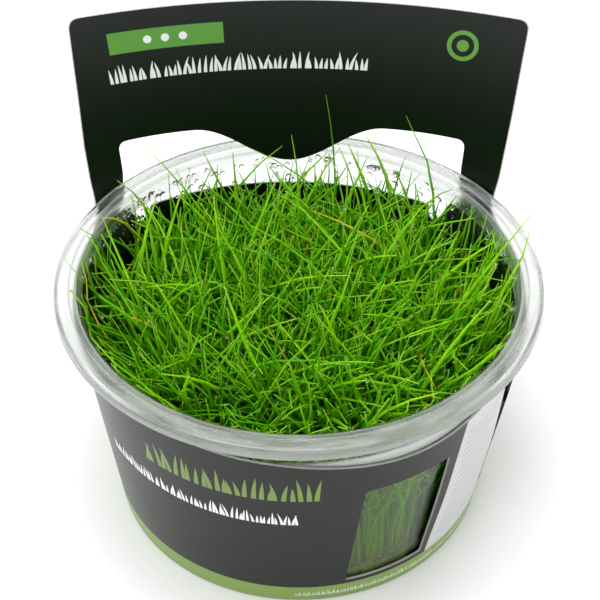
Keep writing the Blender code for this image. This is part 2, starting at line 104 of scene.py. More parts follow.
# The card: the wrap, the header above it, and the window. Places on the wrap are angles in degrees, from the
# rear towards +X; the front dip, the side bulge and the window have theirs from the front. The arms, the
# header and the hump lie at lengths along the flat card, from the rear centre.
CARD_THICKNESS = 0.5
CARD_CLEARANCE = 0.35
CARD_FOOT = 0.3
CARD_TOP = 50.3
FRONT_CARD_TOP = 48.5
OUTER_END = 103.0
INNER_END = -275.0
OVERLAP_START = 70.0
OVERLAP_FULL = 83.0
FRONT_DIP = 4.5
FRONT_DIP_ANGLE = 33.0
FRONT_DIP_SPREAD = 33.0
FRONT_EASE = (45.0, 85.0)
OUTER_END_SLANT = 4.0
TAB_TOP = 45.6
TAB_RISE = 0.0014
TAB_SLOPE = 0.018
LAP_LIFT = 0.7
LAP_LIFT_START = 88.0
LAP_LIFT_HEIGHTS = (16.0, 46.0)
SIDE_BULGE = 0.6
SIDE_BULGE_ANGLES = (30.0, 48.0, 70.0, 95.0)
SIDE_BULGE_HEIGHTS = (0.0, 22.0, 46.0)
HEADER_TOP = 93.4
HEADER_LEAN = 0.10
HEADER_RADIUS_LOW = 67.0
HEADER_RADIUS_TOP = 76.0
HEADER_TURN = 0.474
HEADER_ENDS_Y = 26.6
HEADER_HALF_LENGTH = 50.0
HEADER_FOOT_SPREAD = 0.93
HEADER_CORNERS = (49.9, -50.6)
HEADER_RIGHT_SIDE = ((50.5, 75.0),)
HEADER_LEFT_SIDE = ((-52.1, 80.0), (-53.3, 68.0))
EDGE_RISE = 0.0017
ARM_LEFT = (-54.0, -44.8)
ARM_RIGHT = (40.4, 50.5)
ARM_LEAVES_WALL = (42.5, 52.2)
ARM_STANDS_FREE = (52.6, 60.0)
ARM_BLEND_INSIDE = 3.2
ARM_BLEND_OUTSIDE = 9.0
ARM_SKIRT_GAP = 0.4
ARM_REACH = 4.0
HEADER_REACH = 8.0
ARM_FOOT_CORNER = 2.0
CORNER_RADIUS = 2.4
LOBE_HEIGHT = 62.5
LOBE_CORNER = 2.2
LOBE_FOOT = 53.0
HUMP_CENTRE = -2.7
HUMP_HALF_WIDTH = 23.5
HUMP_DEPTH = 9.5
RIGHT_NOTCH = ((45.0, 45.6, 1.0), (42.6, 43.6, 1.0), (40.6, 44.6, 0.8))
LEFT_NOTCH = ((-47.4, 47.2, 0.8), (-49.6, 46.1, 1.0), (-51.0, 48.0, 0.8))
TAB_ENDS = (40.2, -46.4)
TAB_CORNER = 0.7
OUTLINE_STEP = 2.5
MESH_ROOM = 0.5
WINDOW_ANGLES = (15.2, 40.2)
WINDOW_SKEW = 1.7
WINDOW_HEIGHTS = (6.2, 36.8)
WINDOW_CORNER = 0.8
UNROLL_RADIUS = 50.9
FRONT_ARC = math.pi * UNROLL_RADIUS

# The gel and the plots that the tufts grow on
GEL_TOP = 8.0
GEL_DISH = 0.5
PIECE_GAP = 0.3
TUFT_RINGS = ((0.0, 7.9, 1), (7.9, 22.6, 6), (22.6, 38.2, 12))
ROOT_HEIGHT = 7.2

# The blades: strays stand longer and thinner, loose blades arch out; angles are in radians
BLADE_POINTS = 10
CANOPY_HEIGHT = 44.5
STRAYS_FROM = 0.72
LOOSE_FROM = (0.74, 0.9)
LOOSE_EXTRA = 12.0
LOOSE_LEAN = 0.4
LOOSE_CURL = (0.25, 1.25)
LEAN_REACH = (5.0, 38.0)
LEAN = (0.66, 0.58)
LEAN_ALONG = (0.12, 1.4)
CURL = 1.4
PULL_REACH = (8.0, 38.0)
OUTWARD_PULL = (0.1, 0.75)
PULL_BEHIND = -0.55
SWAY = 0.35
SWAY_WAVES = (2.0, 5.0)
WIDTH_SHARES = (0.34, 0.56)
TIP_WIDTH = 0.16
STRAY_WIDTH = 0.65
TONE = 0.7
LOOSE_TONE = 0.4
STRAY_TONE = 0.9
WALL_ROOM = 0.7
HEADER_ROOM = 1.3
OVER_THE_RIM = (54.0, 61.0)
RIM_OVERHANG = 3.6
BOW_SHARE = 0.955
# Shares of the canopy's height over which the painted shade of its depth gives way to the lit colours
LIT_RISE = (0.68, 1.2)
TIP_FROM = 0.9
TIP_TINT = 0.55
YELLOW_AGE = (0.994, 0.995)
YELLOW_FROM = (0.5, 0.8)
ORANGE_AGE = (0.9991, 0.9992)
ORANGE_FROM = (0.6, 0.75)

# The water: dew on the blades, and beads that sit flat on the wall
DEW_FROM = 0.955
DEW_LOWEST = 35.0
DEW_SIZES = (0.45, 1.0)
BEADS_REACH = math.radians(133.0)
BEAD_DEPTH = 0.45
BEAD_HEIGHTS = (0.8, 1.3)
BEAD_WALL_GAP = 0.05

# The camera, which looks towards +Y and down
CAMERA_PLACE = (0.245, -240.0, 257.14)
CAMERA_TILT = 49.011
CAMERA_LENS = 90.716
SENSOR_WIDTH = 36.0

# The lamps: their places, what they point at, and the left one's share of the power; sizes are in metres
LAMP_ABOVE = (-100.0, 20.0, 900.0)
LAMP_ABOVE_SIZE = 0.7
LAMP_LEFT = (-750.0, -150.0, 420.0)
LAMP_LEFT_SIZE = 0.4
LAMP_TARGET = (0.0, 0.0, 40.0)
LAMP_LEFT_SHARE = 0.18

# Nearly all of a noise's values lie between these two
NOISE_SPREAD = (0.3, 0.7)


def metres(lengths):
    return [length * MM for length in lengths]


def smooth(low, high, value):
    """Ease from 0 at low to 1 at high."""
    share = min(max((value - low) / (high - low), 0.0), 1.0)
    return share * share * (3.0 - 2.0 * share)


def wall_outside(height):
    return FOOT_RADIUS + TAPER * height


def wall_inside(height):
    return wall_outside(height) - CUP_WALL


def wire(tree, kind, *values, named=None, **settings):
    """Add a node with its settings, and feed its inputs from sockets or plain values, in order or by name."""
    node = tree.nodes.new(kind)
    for name, value in settings.items():
        setattr(node, name, value)
    for key, value in list(enumerate(values)) + list((named or {}).items()):
        if isinstance(value, bpy.types.NodeSocket):
            tree.links.new(value, node.inputs[key])
        elif value is not None:
            node.inputs[key].default_value = value
    return node


class Sums:
    """Writes formulas as nodes, in a shader tree or a geometry tree."""

    def __init__(self, tree):
        self.tree = tree

    def do(self, operation, *values):
        return wire(self.tree, "ShaderNodeMath", *values, operation=operation).outputs[0]

    def add(self, first, second):
        return self.do("ADD", first, second)

    def minus(self, first, second):
        return self.do("SUBTRACT", first, second)

    def times(self, first, *others):
        for other in others:
            first = self.do("MULTIPLY", first, other)
        return first

    def over(self, first, second):
        return self.do("DIVIDE", first, second)

    def ease(self, value, low, high, start=0.0, end=1.0):
        """Go from start to end as a value goes from low to high, with no corners."""
        node = wire(self.tree, "ShaderNodeMapRange", value, low, high, start, end,
                    interpolation_type="SMOOTHSTEP")
        return node.outputs[0]

    def within(self, value, low, high, edge):
        """1 between two values and 0 outside them, over an edge of a given width."""
        rising = self.ease(value, low - edge, low + edge)
        falling = self.ease(value, high - edge, high + edge)
        return self.minus(rising, falling)

    def vector(self, operation, *values, **named):
        return wire(self.tree, "ShaderNodeVectorMath", *values, operation=operation, named=named).outputs[0]

    def joined(self, x, y, z):
        return wire(self.tree, "ShaderNodeCombineXYZ", x, y, z).outputs[0]

    def split(self, vector):
        return wire(self.tree, "ShaderNodeSeparateXYZ", vector).outputs

    def blend(self, share, first, second):
        """A colour between two colours."""
        first = first if isinstance(first, bpy.types.NodeSocket) else (*first, 1.0)
        second = second if isinstance(second, bpy.types.NodeSocket) else (*second, 1.0)
        node = wire(self.tree, "ShaderNodeMix", data_type="RGBA",
                    named={0: share, 6: first, 7: second})
        return node.outputs[2]


class Finish(Sums):
    """A material with one Principled shader, whose sockets are set or fed by formulas."""

    def __init__(self, name, **sockets):
        self.material = bpy.data.materials.new(name)
        self.material.use_nodes = True
        super().__init__(self.material.node_tree)
        self.shader = self.tree.nodes["Principled BSDF"]
        for socket, value in sockets.items():
            self.feed(socket.replace("_", " ").title().replace("Ior", "IOR"), value)

    def feed(self, socket, value):
        if isinstance(value, bpy.types.NodeSocket):
            self.tree.links.new(value, self.shader.inputs[socket])
        elif isinstance(value, tuple) and len(value) == 3 and "Color" in socket:
            self.shader.inputs[socket].default_value = (*value, 1.0)
        else:
            self.shader.inputs[socket].default_value = value

    def place(self):
        return wire(self.tree, "ShaderNodeTexCoord").outputs["Object"]

    def attribute(self, name):
        return wire(self.tree, "ShaderNodeAttribute", attribute_name=name).outputs["Fac"]

    def noise(self, vector, scale, detail=2.0):
        node = wire(self.tree, "ShaderNodeTexNoise",
                    named={"Vector": vector, "Scale": scale, "Detail": detail})
        return node.outputs[0]

    def bump(self, height, distance, strength=1.0):
        node = wire(self.tree, "ShaderNodeBump",
                    named={"Height": height, "Distance": distance, "Strength": strength})
        self.feed("Normal", node.outputs[0])


def add_piece(name, shape, finishes, smooth_angle=None):
    """Turn a bmesh in metres into an object with its finishes, shaded smooth."""
    mesh = bpy.data.meshes.new(name)
    shape.to_mesh(mesh)
    shape.free()
    for finish in finishes:
        mesh.materials.append(finish)
    mesh.shade_smooth()
    if smooth_angle:
        mesh.set_sharp_from_angle(angle=math.radians(smooth_angle))
    made = bpy.data.objects.new(name, mesh)
    bpy.context.scene.collection.objects.link(made)
    return made


def settle(piece, slot, *nodes):
    """Let a piece ride with the object, in place of its CAD nodes; the slot is not used."""
    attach(piece, "root")
    if nodes:
        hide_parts(*nodes)


def rounded(points, steps):
    """A list of points with its corners rounded; a point is (x, y, radius), and a radius of 0 stays sharp."""
    result = []
    for index, (x, y, size) in enumerate(points):
        corner = Vector((x, y))
        if size == 0.0:
            result.append(corner)
            continue
        before = Vector(points[index - 1][:2])
        after = Vector(points[(index + 1) % len(points)][:2])
        start = corner + (before - corner).normalized() * size
        end = corner + (after - corner).normalized() * size
        for step in range(steps + 1):
            share = step / steps
            result.append(start.lerp(corner, share).lerp(corner.lerp(end, share), share))
    return result


def turned(profile, segments):
    """Turn a profile of (radius, height) points, which starts and ends on the axis, into a closed body."""
    body = bmesh.new()
    angles = [math.tau * index / segments for index in range(segments)]
    rings = []
    for radius, height in profile:
        if radius == 0.0:
            rings.append([body.verts.new((0.0, 0.0, height * MM))])
            continue
        places = [Vector((radius * math.sin(angle), radius * math.cos(angle), height)) for angle in angles]
        rings.append([body.verts.new(place * MM) for place in places])
    for lower, upper in zip(rings, rings[1:]):
        for index in range(segments):
            following = (index + 1) % segments
            corners = (lower[index % len(lower)], lower[following % len(lower)],
                       upper[following % len(upper)], upper[index % len(upper)])
            unique = list(dict.fromkeys(corners))
            if len(unique) > 2:
                body.faces.new(unique)
    bmesh.ops.recalc_face_normals(body, faces=body.faces[:])
    return body


def cup_profile():
    """The cup's sheet: up the outside, over the rim and its skirt, and down the inside.

    Each point is a radius, a height and how far its corner is rounded.
    """
    flange_under = CUP_HEIGHT - CUP_WALL
    step_top = CUP_HEIGHT - STEP_DEPTH
    skirt_foot = CUP_HEIGHT - SKIRT_DEPTH
    skirt_radius = RIM_RADIUS + SKIRT_FLARE
    floor = BASE_RECESS + CUP_WALL
    low, high = WALL_HEIGHTS
    outside = [
        (0.0, BASE_RECESS, 0.0), (RECESS_RADIUS, BASE_RECESS, 0.6), (FOOT_RING[0], 0.0, 0.5),
        (FOOT_RING[1], 0.0, 0.4), (*FOOT_CORNER, 0.4), (wall_outside(low), low, 0.5),
        (wall_outside(high), high, 1.0),
        (LIP_RADIUS + CUP_WALL, step_top - 1.2, 0.3), (STEP_RADIUS + 0.2, step_top - CUP_WALL, 0.3),
        (FLANGE_INNER_RADIUS, flange_under, 0.3), (RIM_RADIUS - CUP_WALL, flange_under, 0.3),
        (skirt_radius - CUP_WALL, skirt_foot + 0.2, 0.1), (skirt_radius - SKIRT_LIP, skirt_foot, 0.14),
    ]
    over_the_rim = [
        (skirt_radius, skirt_foot + 0.25, 0.14), (RIM_RADIUS, CUP_HEIGHT - 0.4, 0.2),
        (RIM_RADIUS - SKIRT_LIP, CUP_HEIGHT, 0.2), (FLANGE_INNER_RADIUS, CUP_HEIGHT, 0.4),
        (STEP_RADIUS, step_top, 0.4), (LIP_RADIUS + 0.25, step_top - 0.1, 0.2),
        (LIP_RADIUS, step_top - 0.6, 0.25),
    ]
    inside = [
        (wall_inside(high), high, 1.0), (wall_inside(low + 0.4), low + 0.4, 0.5),
        (FOOT_RING_INSIDE[1], CUP_WALL, 0.5), (FOOT_RING_INSIDE[0], CUP_WALL, 0.4),
        (RECESS_RADIUS + 0.4, floor, 0.5), (0.0, floor, 0.0),
    ]
    return rounded(outside + over_the_rim + inside, steps=4)


def round_place(finish):
    """Where a point lies as angle from the front towards +X, radius and height, the last two in metres."""
    x, y, height = finish.split(finish.place())
    angle = finish.do("ARCTAN2", x, finish.times(y, -1.0))
    radius = finish.do("SQRT", finish.add(finish.times(x, x), finish.times(y, y)))
    return angle, radius, height


def clear_plastic(settings):
    """Clear formed sheet, very slightly wavy, clouded above the card at the front, with a painted reflection
    below that.
    """
    finish = Finish("clear_plastic", roughness=settings.roughness, ior=settings.ior)
    angle, _, height = round_place(finish)
    clouded = finish.times(finish.within(height, *metres(STRIP_HEIGHTS), 0.0005),
                           finish.ease(finish.do("ABSOLUTE", angle), *STRIP_FADE, STRIP_CLOUDING, 0.0))
    # Painted reflection: an olive haze with soft vertical runs on the wall at the window's left, where the
    # lit floor shows in the wall
    painted_sheen = finish.times(finish.within(angle, *SHEEN_PATCH_ANGLES, 0.006),
                          finish.within(height, *metres(SHEEN_PATCH_HEIGHTS), 0.001))
    run_across, run_down = SHEEN_PATCH_RUNS
    runs = finish.joined(finish.times(angle, run_across), 0.0, finish.times(height, run_down))
    painted_sheen = finish.times(painted_sheen, finish.ease(finish.noise(runs, 1.0), *NOISE_SPREAD, 0.5, 1.1))
    clear = finish.minus(finish.minus(1.0, clouded), finish.times(painted_sheen, SHEEN_PATCH_CLOUDING))
    finish.feed("Base Color", finish.blend(painted_sheen, settings.colour, settings.sheen_patch_colour))
    finish.feed("Transmission Weight", clear)
    finish.bump(finish.noise(finish.place(), 90.0), 0.0004, 0.08)
    return finish.material


def milky_plastic(settings):
    """The rim: its skirt clouded and painted a darker grey at the front as shade, clearer behind, with
    streaks and two grey rings.
    """
    finish = Finish("milky_plastic", ior=settings.rim_ior)
    angle, radius, height = round_place(finish)
    drawn_out = finish.joined(finish.times(angle, STREAKS_ROUND), finish.times(radius, STREAKS_ACROSS),
                              finish.times(height, STREAKS_ACROSS))
    # Painted shade: at the front the skirt turns a darker grey, standing in for the dark card and grass seen
    # through it; behind it is paler and clearer
    clouded = finish.times(finish.ease(finish.do("ABSOLUTE", angle), *SKIRT_SHADE_ANGLES, 1.0, SKIRT_SHADE_BEHIND),
                           finish.ease(height, *metres(SKIRT_SHADE_HEIGHTS), 1.0, SKIRT_SHADE_ABOVE))
    rings = finish.add(*(finish.within(radius, *metres(ring), 0.0001) for ring in FLANGE_RINGS))
    clouded = finish.do("MAXIMUM", clouded, finish.times(rings, RING_CLOUDING))
    finish.feed("Base Color", finish.blend(clouded, settings.rim_colour, settings.skirt_shade_colour))
    clear = finish.ease(clouded, 0.0, 1.0, settings.rim_clearness, SKIRT_CLEARNESS)
    streaks = finish.ease(finish.noise(drawn_out, 1.0, 1.0), *NOISE_SPREAD, 1.06, 0.9)
    finish.feed("Transmission Weight", finish.times(clear, streaks))
    finish.feed("Roughness", finish.ease(finish.noise(drawn_out, 0.6), 0.35, 0.65, 0.14, 0.3))
    finish.bump(finish.noise(drawn_out, 0.4, 1.0), 0.0002, 0.06)
    return finish.material


def gel_profile():
    """The gel's pad: it fits the cup's foot with a small gap, and its top is slightly dished."""
    floor = BASE_RECESS + CUP_WALL + PIECE_GAP
    edge = wall_inside(GEL_TOP) - PIECE_GAP
    dish = GEL_TOP - GEL_DISH
    return rounded([
        (0.0, floor, 0.0), (RECESS_RADIUS + 0.4, floor, 0.5),
        (FOOT_RING_INSIDE[0] + 0.1, CUP_WALL + PIECE_GAP, 0.5),
        (FOOT_RING_INSIDE[1] - PIECE_GAP, CUP_WALL + PIECE_GAP, 0.5),
        (wall_inside(2.6) - PIECE_GAP, 2.6, 0.5),
        (edge, GEL_TOP, 0.2), (edge - 1.4, dish, 0.5), (28.0, dish, 0.0), (14.0, dish, 0.0), (0.0, dish, 0.0),
    ], steps=4)


def rooted_gel(settings):
    """Cloudy gel, between green and brown, with pale roots running through it."""
    finish = Finish("growing_gel", roughness=0.28, ior=1.35)
    place = finish.place()
    stretched = finish.vector("MULTIPLY", place, (1.0, 1.0, 0.25))
    roots = finish.ease(finish.noise(stretched, 420.0, 5.0), 0.52, 0.6)
    cloudy = finish.noise(place, 60.0, 3.0)
    body = finish.blend(cloudy, settings.colour, settings.deep_colour)
    finish.feed("Base Color", finish.blend(finish.times(roots, 0.6), body, settings.root_colour))
    finish.feed("Subsurface Weight", 0.25)
    finish.feed("Subsurface Scale", 0.003)
    finish.bump(roots, 0.0003)
    return finish.material


def from_front(angle):
    """An angle from the front towards +X, as the angle from the rear that the card is laid out by."""
    return -180.0 - angle


def sleeve_top(angle):
    """Height of the wrap's top edge at an angle from the rear; it is lower at the front, and dips there."""
    from_dip = abs((angle - from_front(FRONT_DIP_ANGLE) + 180.0) % 360.0 - 180.0)
    front_share = 1.0 - smooth(*FRONT_EASE, from_dip)
    dip = FRONT_DIP * math.exp(-(from_dip / FRONT_DIP_SPREAD) ** 2)
    return CARD_TOP - (CARD_TOP - FRONT_CARD_TOP) * front_share - dip


def tab_top(angle):
    """Height of the low edge behind the grass, between the two notches."""
    return TAB_TOP + TAB_RISE * angle * angle - TAB_SLOPE * angle


def to_arc(angle):
    return math.radians(angle) * UNROLL_RADIUS


def to_angle(arc):
    return math.degrees(arc / UNROLL_RADIUS)


def header_line(arc, height, corner=0.0):
    """A point on a line across the header, which rises to both ends; a corner there may be rounded."""
    return (arc, height + EDGE_RISE * arc * arc, corner)


def spaced(start, end, step):
    """Values from start to end, both included, about a step apart."""
    count = max(round(abs(end - start) / step), 1)
    return [start + (end - start) * index / count for index in range(count + 1)]


def laid_out(points):
    """Points of the flat card, from an angle from the rear, a height and a rounding for each."""
    return [(to_arc(angle), height, corner) for angle, height, corner in points]


def blank_outline():
    """The die-cut card laid flat: arc length from the rear centre along x, height along y."""
    right_corner, left_corner = HEADER_CORNERS
    right_run = spaced(OUTER_END, to_angle(ARM_RIGHT[1]) + 6.0, OUTLINE_STEP)
    left_run = spaced(to_angle(ARM_LEFT[0]) - 6.0, INNER_END, OUTLINE_STEP)
    outline = [(to_arc(OUTER_END - OUTER_END_SLANT), CARD_FOOT, 0.0)]
    outline += laid_out((angle, sleeve_top(angle), 0.0) for angle in right_run)
    outline.append((ARM_RIGHT[1] + 0.2, CARD_TOP, ARM_FOOT_CORNER))
    outline += [(*point, 0.0) for point in HEADER_RIGHT_SIDE]
    outline.append(header_line(right_corner, HEADER_TOP, CORNER_RADIUS))
    outline += [header_line(arc, HEADER_TOP) for arc in spaced(44.0, -45.0, OUTLINE_STEP)]
    outline.append(header_line(left_corner, HEADER_TOP, CORNER_RADIUS))
    outline += [(*point, 0.0) for point in HEADER_LEFT_SIDE]
    outline.append((ARM_LEFT[0] - 0.1, CARD_TOP, ARM_FOOT_CORNER))
    outline += laid_out((angle, sleeve_top(angle), 0.0) for angle in left_run)
    outline.append((to_arc(INNER_END), CARD_FOOT, 0.0))
    return rounded(outline, steps=8)


def opening_outline():
    """The opening under the header: two lobes round a hump, and a notch at each arm's foot."""
    left = ARM_LEFT[1]
    right = ARM_RIGHT[0]
    outline = [header_line(left, LOBE_HEIGHT, LOBE_CORNER)]
    for share in spaced(-1.0, 1.0, 1.0 / 18.0):
        drop = HUMP_DEPTH * 0.5 * (1.0 + math.cos(math.pi * share))
        outline.append(header_line(HUMP_CENTRE + share * HUMP_HALF_WIDTH, LOBE_HEIGHT - drop))
    outline += [header_line(right, LOBE_HEIGHT, LOBE_CORNER), (right + 0.2, LOBE_FOOT, 0.0)]
    tab_right, tab_left = TAB_ENDS
    outline += laid_out((*RIGHT_NOTCH, (tab_right, tab_top(tab_right), TAB_CORNER)))
    outline += laid_out((angle, tab_top(angle), 0.0) for angle in spaced(36.0, -42.0, 3.0))
    outline += laid_out(((tab_left, tab_top(tab_left), TAB_CORNER), *LEFT_NOTCH))
    outline.append((left - 0.2, LOBE_FOOT, 0.0))
    return rounded(outline, steps=6)


def window_outline():
    """The die-cut window, whose sides lean towards +X at their tops."""
    low, high = WINDOW_HEIGHTS
    left, right = WINDOW_ANGLES
    corners = ((left - WINDOW_SKEW, low), (right - WINDOW_SKEW, low),
               (right + WINDOW_SKEW, high), (left + WINDOW_SKEW, high))
    return rounded(laid_out((from_front(angle), height, WINDOW_CORNER) for angle, height in corners), steps=4)


def arm_share(arc, reach):
    """1 on either arm, easing to 0 over a distance beside it."""
    best = 0.0
    for low, high in (ARM_LEFT, ARM_RIGHT):
        outside = max(low - arc, arc - high, 0.0)
        best = max(best, 1.0 - smooth(0.0, reach, outside))
    return best


def side_bulge(angle, height):
    """How far the card stands off the wall beside the window, where nothing presses it on."""
    start, full, ending, end = SIDE_BULGE_ANGLES
    low, middle, high = SIDE_BULGE_HEIGHTS
    from_the_front = from_front(angle) % 360.0
    around = smooth(start, full, from_the_front) - smooth(ending, end, from_the_front)
    return SIDE_BULGE * around * (smooth(low, middle, height) - smooth(middle, high, height))


def wrapped(arc, height):
    """Inner face of the wrap: a cone that hugs the cup, leaves it at the arms, and overlaps itself."""
    degrees_round = to_angle(arc)
    angle = math.radians(degrees_round)
    radius = wall_outside(height) + CARD_CLEARANCE + side_bulge(degrees_round, height)
    outside_skirt = RIM_RADIUS + SKIRT_FLARE + ARM_SKIRT_GAP
    inside = ARM_LEFT[1] < arc < ARM_RIGHT[0]
    blend = ARM_BLEND_INSIDE if inside else ARM_BLEND_OUTSIDE
    radius += (outside_skirt - radius) * arm_share(arc, blend) * smooth(*ARM_LEAVES_WALL, height)
    lap = smooth(OVERLAP_START, OVERLAP_FULL, degrees_round)
    lift = LAP_LIFT * smooth(LAP_LIFT_START, OUTER_END, degrees_round) * smooth(*LAP_LIFT_HEIGHTS, height)
    radius += lap * (CARD_THICKNESS + PIECE_GAP) + lift
    return Vector((radius * math.sin(angle), radius * math.cos(angle), height))


def header_bend(height):
    """How far up the header a height is, from 0 at the rim, and the radius that it is bent to there."""
    share = (height - CUP_HEIGHT) / (HEADER_TOP - CUP_HEIGHT)
    share = min(max(share, -0.3), 1.3)
    return share, 1.0 / ((1.0 - share) / HEADER_RADIUS_LOW + share / HEADER_RADIUS_TOP)


def standing(arc, height):
    """Inner face of the header: a sheet whose bend opens out towards its top."""
    share, radius = header_bend(height)
    length = arc * (HEADER_FOOT_SPREAD + (1.0 - HEADER_FOOT_SPREAD) * share)
    turn = math.radians(HEADER_TURN)
    bow = radius * (1.0 - math.cos(HEADER_HALF_LENGTH / radius))
    middle = HEADER_ENDS_Y + HEADER_LEAN * (height - CUP_HEIGHT) + bow
    centre = Vector((math.sin(turn), math.cos(turn), 0.0)) * (middle - radius)
    angle = length / radius + turn
    return centre + Vector((radius * math.sin(angle), radius * math.cos(angle), height))


def card_point(arc, height):
    if ARM_LEFT[1] + HEADER_REACH < arc < ARM_RIGHT[0] - ARM_REACH:
        share = 1.0 if height > CARD_TOP else 0.0
    elif ARM_LEFT[0] - ARM_REACH < arc < ARM_RIGHT[1] + ARM_REACH:
        share = smooth(*ARM_STANDS_FREE, height)
    else:
        share = 0.0
    return wrapped(arc, height).lerp(standing(arc, height), share)


def card_normal(arc, height):
    across = card_point(arc + 0.05, height) - card_point(arc - 0.05, height)
    upward = card_point(arc, height + 0.05) - card_point(arc, height - 0.05)
    return upward.cross(across).normalized()


def divided(outline, step):
    """The same outline with its long edges cut into short ones, so that they can follow a bend."""
    result = []
    for start, end in zip(outline, outline[1:] + outline[:1]):
        count = max(math.ceil((end - start).length / step), 1)
        result += [start.lerp(end, index / count) for index in range(count)]
    return result


def holds(outline, point):
    """Whether an outline goes round a point, by counting its edges to the point's right."""
    inside = False
    for start, end in zip(outline, outline[1:] + outline[:1]):
        if (start.y > point.y) != (end.y > point.y):
            crossing = start.x + (point.y - start.y) / (end.y - start.y) * (end.x - start.x)
            inside = inside != (point.x < crossing)
    return inside


def clear_of(outline, point, room):
    """Whether a point is further than some room from every edge of an outline."""
    for start, end in zip(outline, outline[1:] + outline[:1]):
        if min(start.x, end.x) - room < point.x < max(start.x, end.x) + room:
            nearest, share = intersect_point_line(point, start, end)
            nearest = start.lerp(end, min(max(share, 0.0), 1.0))
            if (point - nearest.to_2d()).length < room:
                return False
    return True


def laid_flat(arc_step, height_step):
    """The flat card as points and triangles, with the opening and the window left out."""
    outlines = (blank_outline(), opening_outline(), window_outline())
    blank, *holes = (divided(outline, arc_step) for outline in outlines)
    points = []
    edges = []
    for outline in (blank, *holes):
        first = len(points)
        points += outline
        edges += [(first + index, first + (index + 1) % len(outline)) for index in range(len(outline))]
    for arc in spaced(to_arc(INNER_END), to_arc(OUTER_END), arc_step)[1:-1]:
        for height in spaced(CARD_FOOT, HEADER_TOP + 4.0, height_step)[1:]:
            point = Vector((arc, height))
            beside_header = not ARM_LEFT[0] - 1.0 < arc < ARM_RIGHT[1] + 1.0
            if beside_header and height > CARD_TOP:
                break
            if holds(blank, point) and not any(holds(hole, point) for hole in holes):
                if all(clear_of(outline, point, MESH_ROOM) for outline in (blank, *holes)):
                    points.append(point)
    places, _, triangles, _, _, _ = delaunay_2d_cdt(points, edges, [], 0, 1e-5)
    kept = []
    for triangle in triangles:
        middle = sum((places[index] for index in triangle), Vector((0.0, 0.0))) / 3.0
        if holds(blank, middle) and not any(holds(hole, middle) for hole in holes):
            kept.append(triangle)
    return places, kept


OUTSIDE, INSIDE, CUT_EDGE = range(3)


def card_sheet(settings):
    """The card bent into place: its printed outside, its inside with the header's print, and its cut edge."""
    places, triangles = laid_flat(settings.arc_step / MM, settings.height_step / MM)
    shape = bmesh.new()
    flat = shape.loops.layers.uv.new("laid_flat")
    sides = []
    for depth in (0.0, CARD_THICKNESS):
        sides.append([shape.verts.new((card_point(*place) + card_normal(*place) * depth) * MM)
                      for place in places])
    inner, outer = sides
    position = {}
    for index, place in enumerate(places):
        position[inner[index]] = position[outer[index]] = place
    borders = {}
    for triangle in triangles:
        shape.faces.new([inner[index] for index in triangle]).material_index = INSIDE
        shape.faces.new([outer[index] for index in reversed(triangle)]).material_index = OUTSIDE
        for start, end in zip(triangle, triangle[1:] + triangle[:1]):
            if (end, start) in borders:
                borders.pop((end, start))
            else:
                borders[(start, end)] = True
    for start, end in borders:
        side = shape.faces.new((inner[end], inner[start], outer[start], outer[end]))
        # The cut edge at the outer end takes the black outside finish: painted shade, dark as the shaded gap
        # under the lifted end
        at_outer_end = min(places[start].x, places[end].x) > to_arc(OUTER_END - OUTER_END_SLANT) - 0.1
        side.material_index = OUTSIDE if at_outer_end else CUT_EDGE
    for face in shape.faces:
        for loop in face.loops:
            loop[flat].uv = position[loop.vert]
    loose = [vert for vert in shape.verts if not vert.link_faces]
    bmesh.ops.delete(shape, geom=loose, context="VERTS")
    return shape


class StrokeRow(NamedTuple):
    """A printed row of grass: where it starts and stands on the flat card, and its size and spacing."""

    start: float
    foot: float
    length: float
    height: float
    spacing: float
    seed: float


WIDE_ROW = StrokeRow(start=-38.0, foot=36.0, length=43.0, height=7.2, spacing=1.7, seed=3.0)
SMALL_ROW = StrokeRow(start=-53.0, foot=28.0, length=53.0, height=4.0, spacing=0.95, seed=8.0)
BAND_ROW = StrokeRow(start=-1.0, foot=1.8, length=62.0, height=1.7, spacing=0.6, seed=5.0)
HEADER_ROW = StrokeRow(start=-44.2, foot=76.9, length=59.5, height=4.4, spacing=1.15, seed=2.0)

# The rest of the print, and the painted sheen on the header: widths and heights on the flat card
INK_EDGE = 0.1
BAND_TOP = 5.0
PANEL_LEFT = 35.2
PANEL_SLANT = 0.135
RULE_SPACING = 1.7
RULE_HEIGHTS = (8.0, 41.0)
RULE_ENDS = (48.1, 72.1)
RULE_INK = (0.12, 0.12, 0.12)
FIBRE_COLOUR = (0.22, 0.22, 0.21)
# Heights where a painted sheen lightens the header's inside towards its top
HEADER_SHEEN_HEIGHTS = (68.0, 98.0)
BOX_ARCS = (-42.9, -17.0)
BOX_HEIGHTS = (83.8, 88.8)
DOTS_ARCS = (-36.0, -24.0)
DOTS_HEIGHT = 86.3
DOTS_SPACING = 4.0
DOT_RADIUS = 1.0
RING_PLACE = (36.2, 85.4)
RING_RADII = (2.6, 3.6)
RING_DOT = 1.3


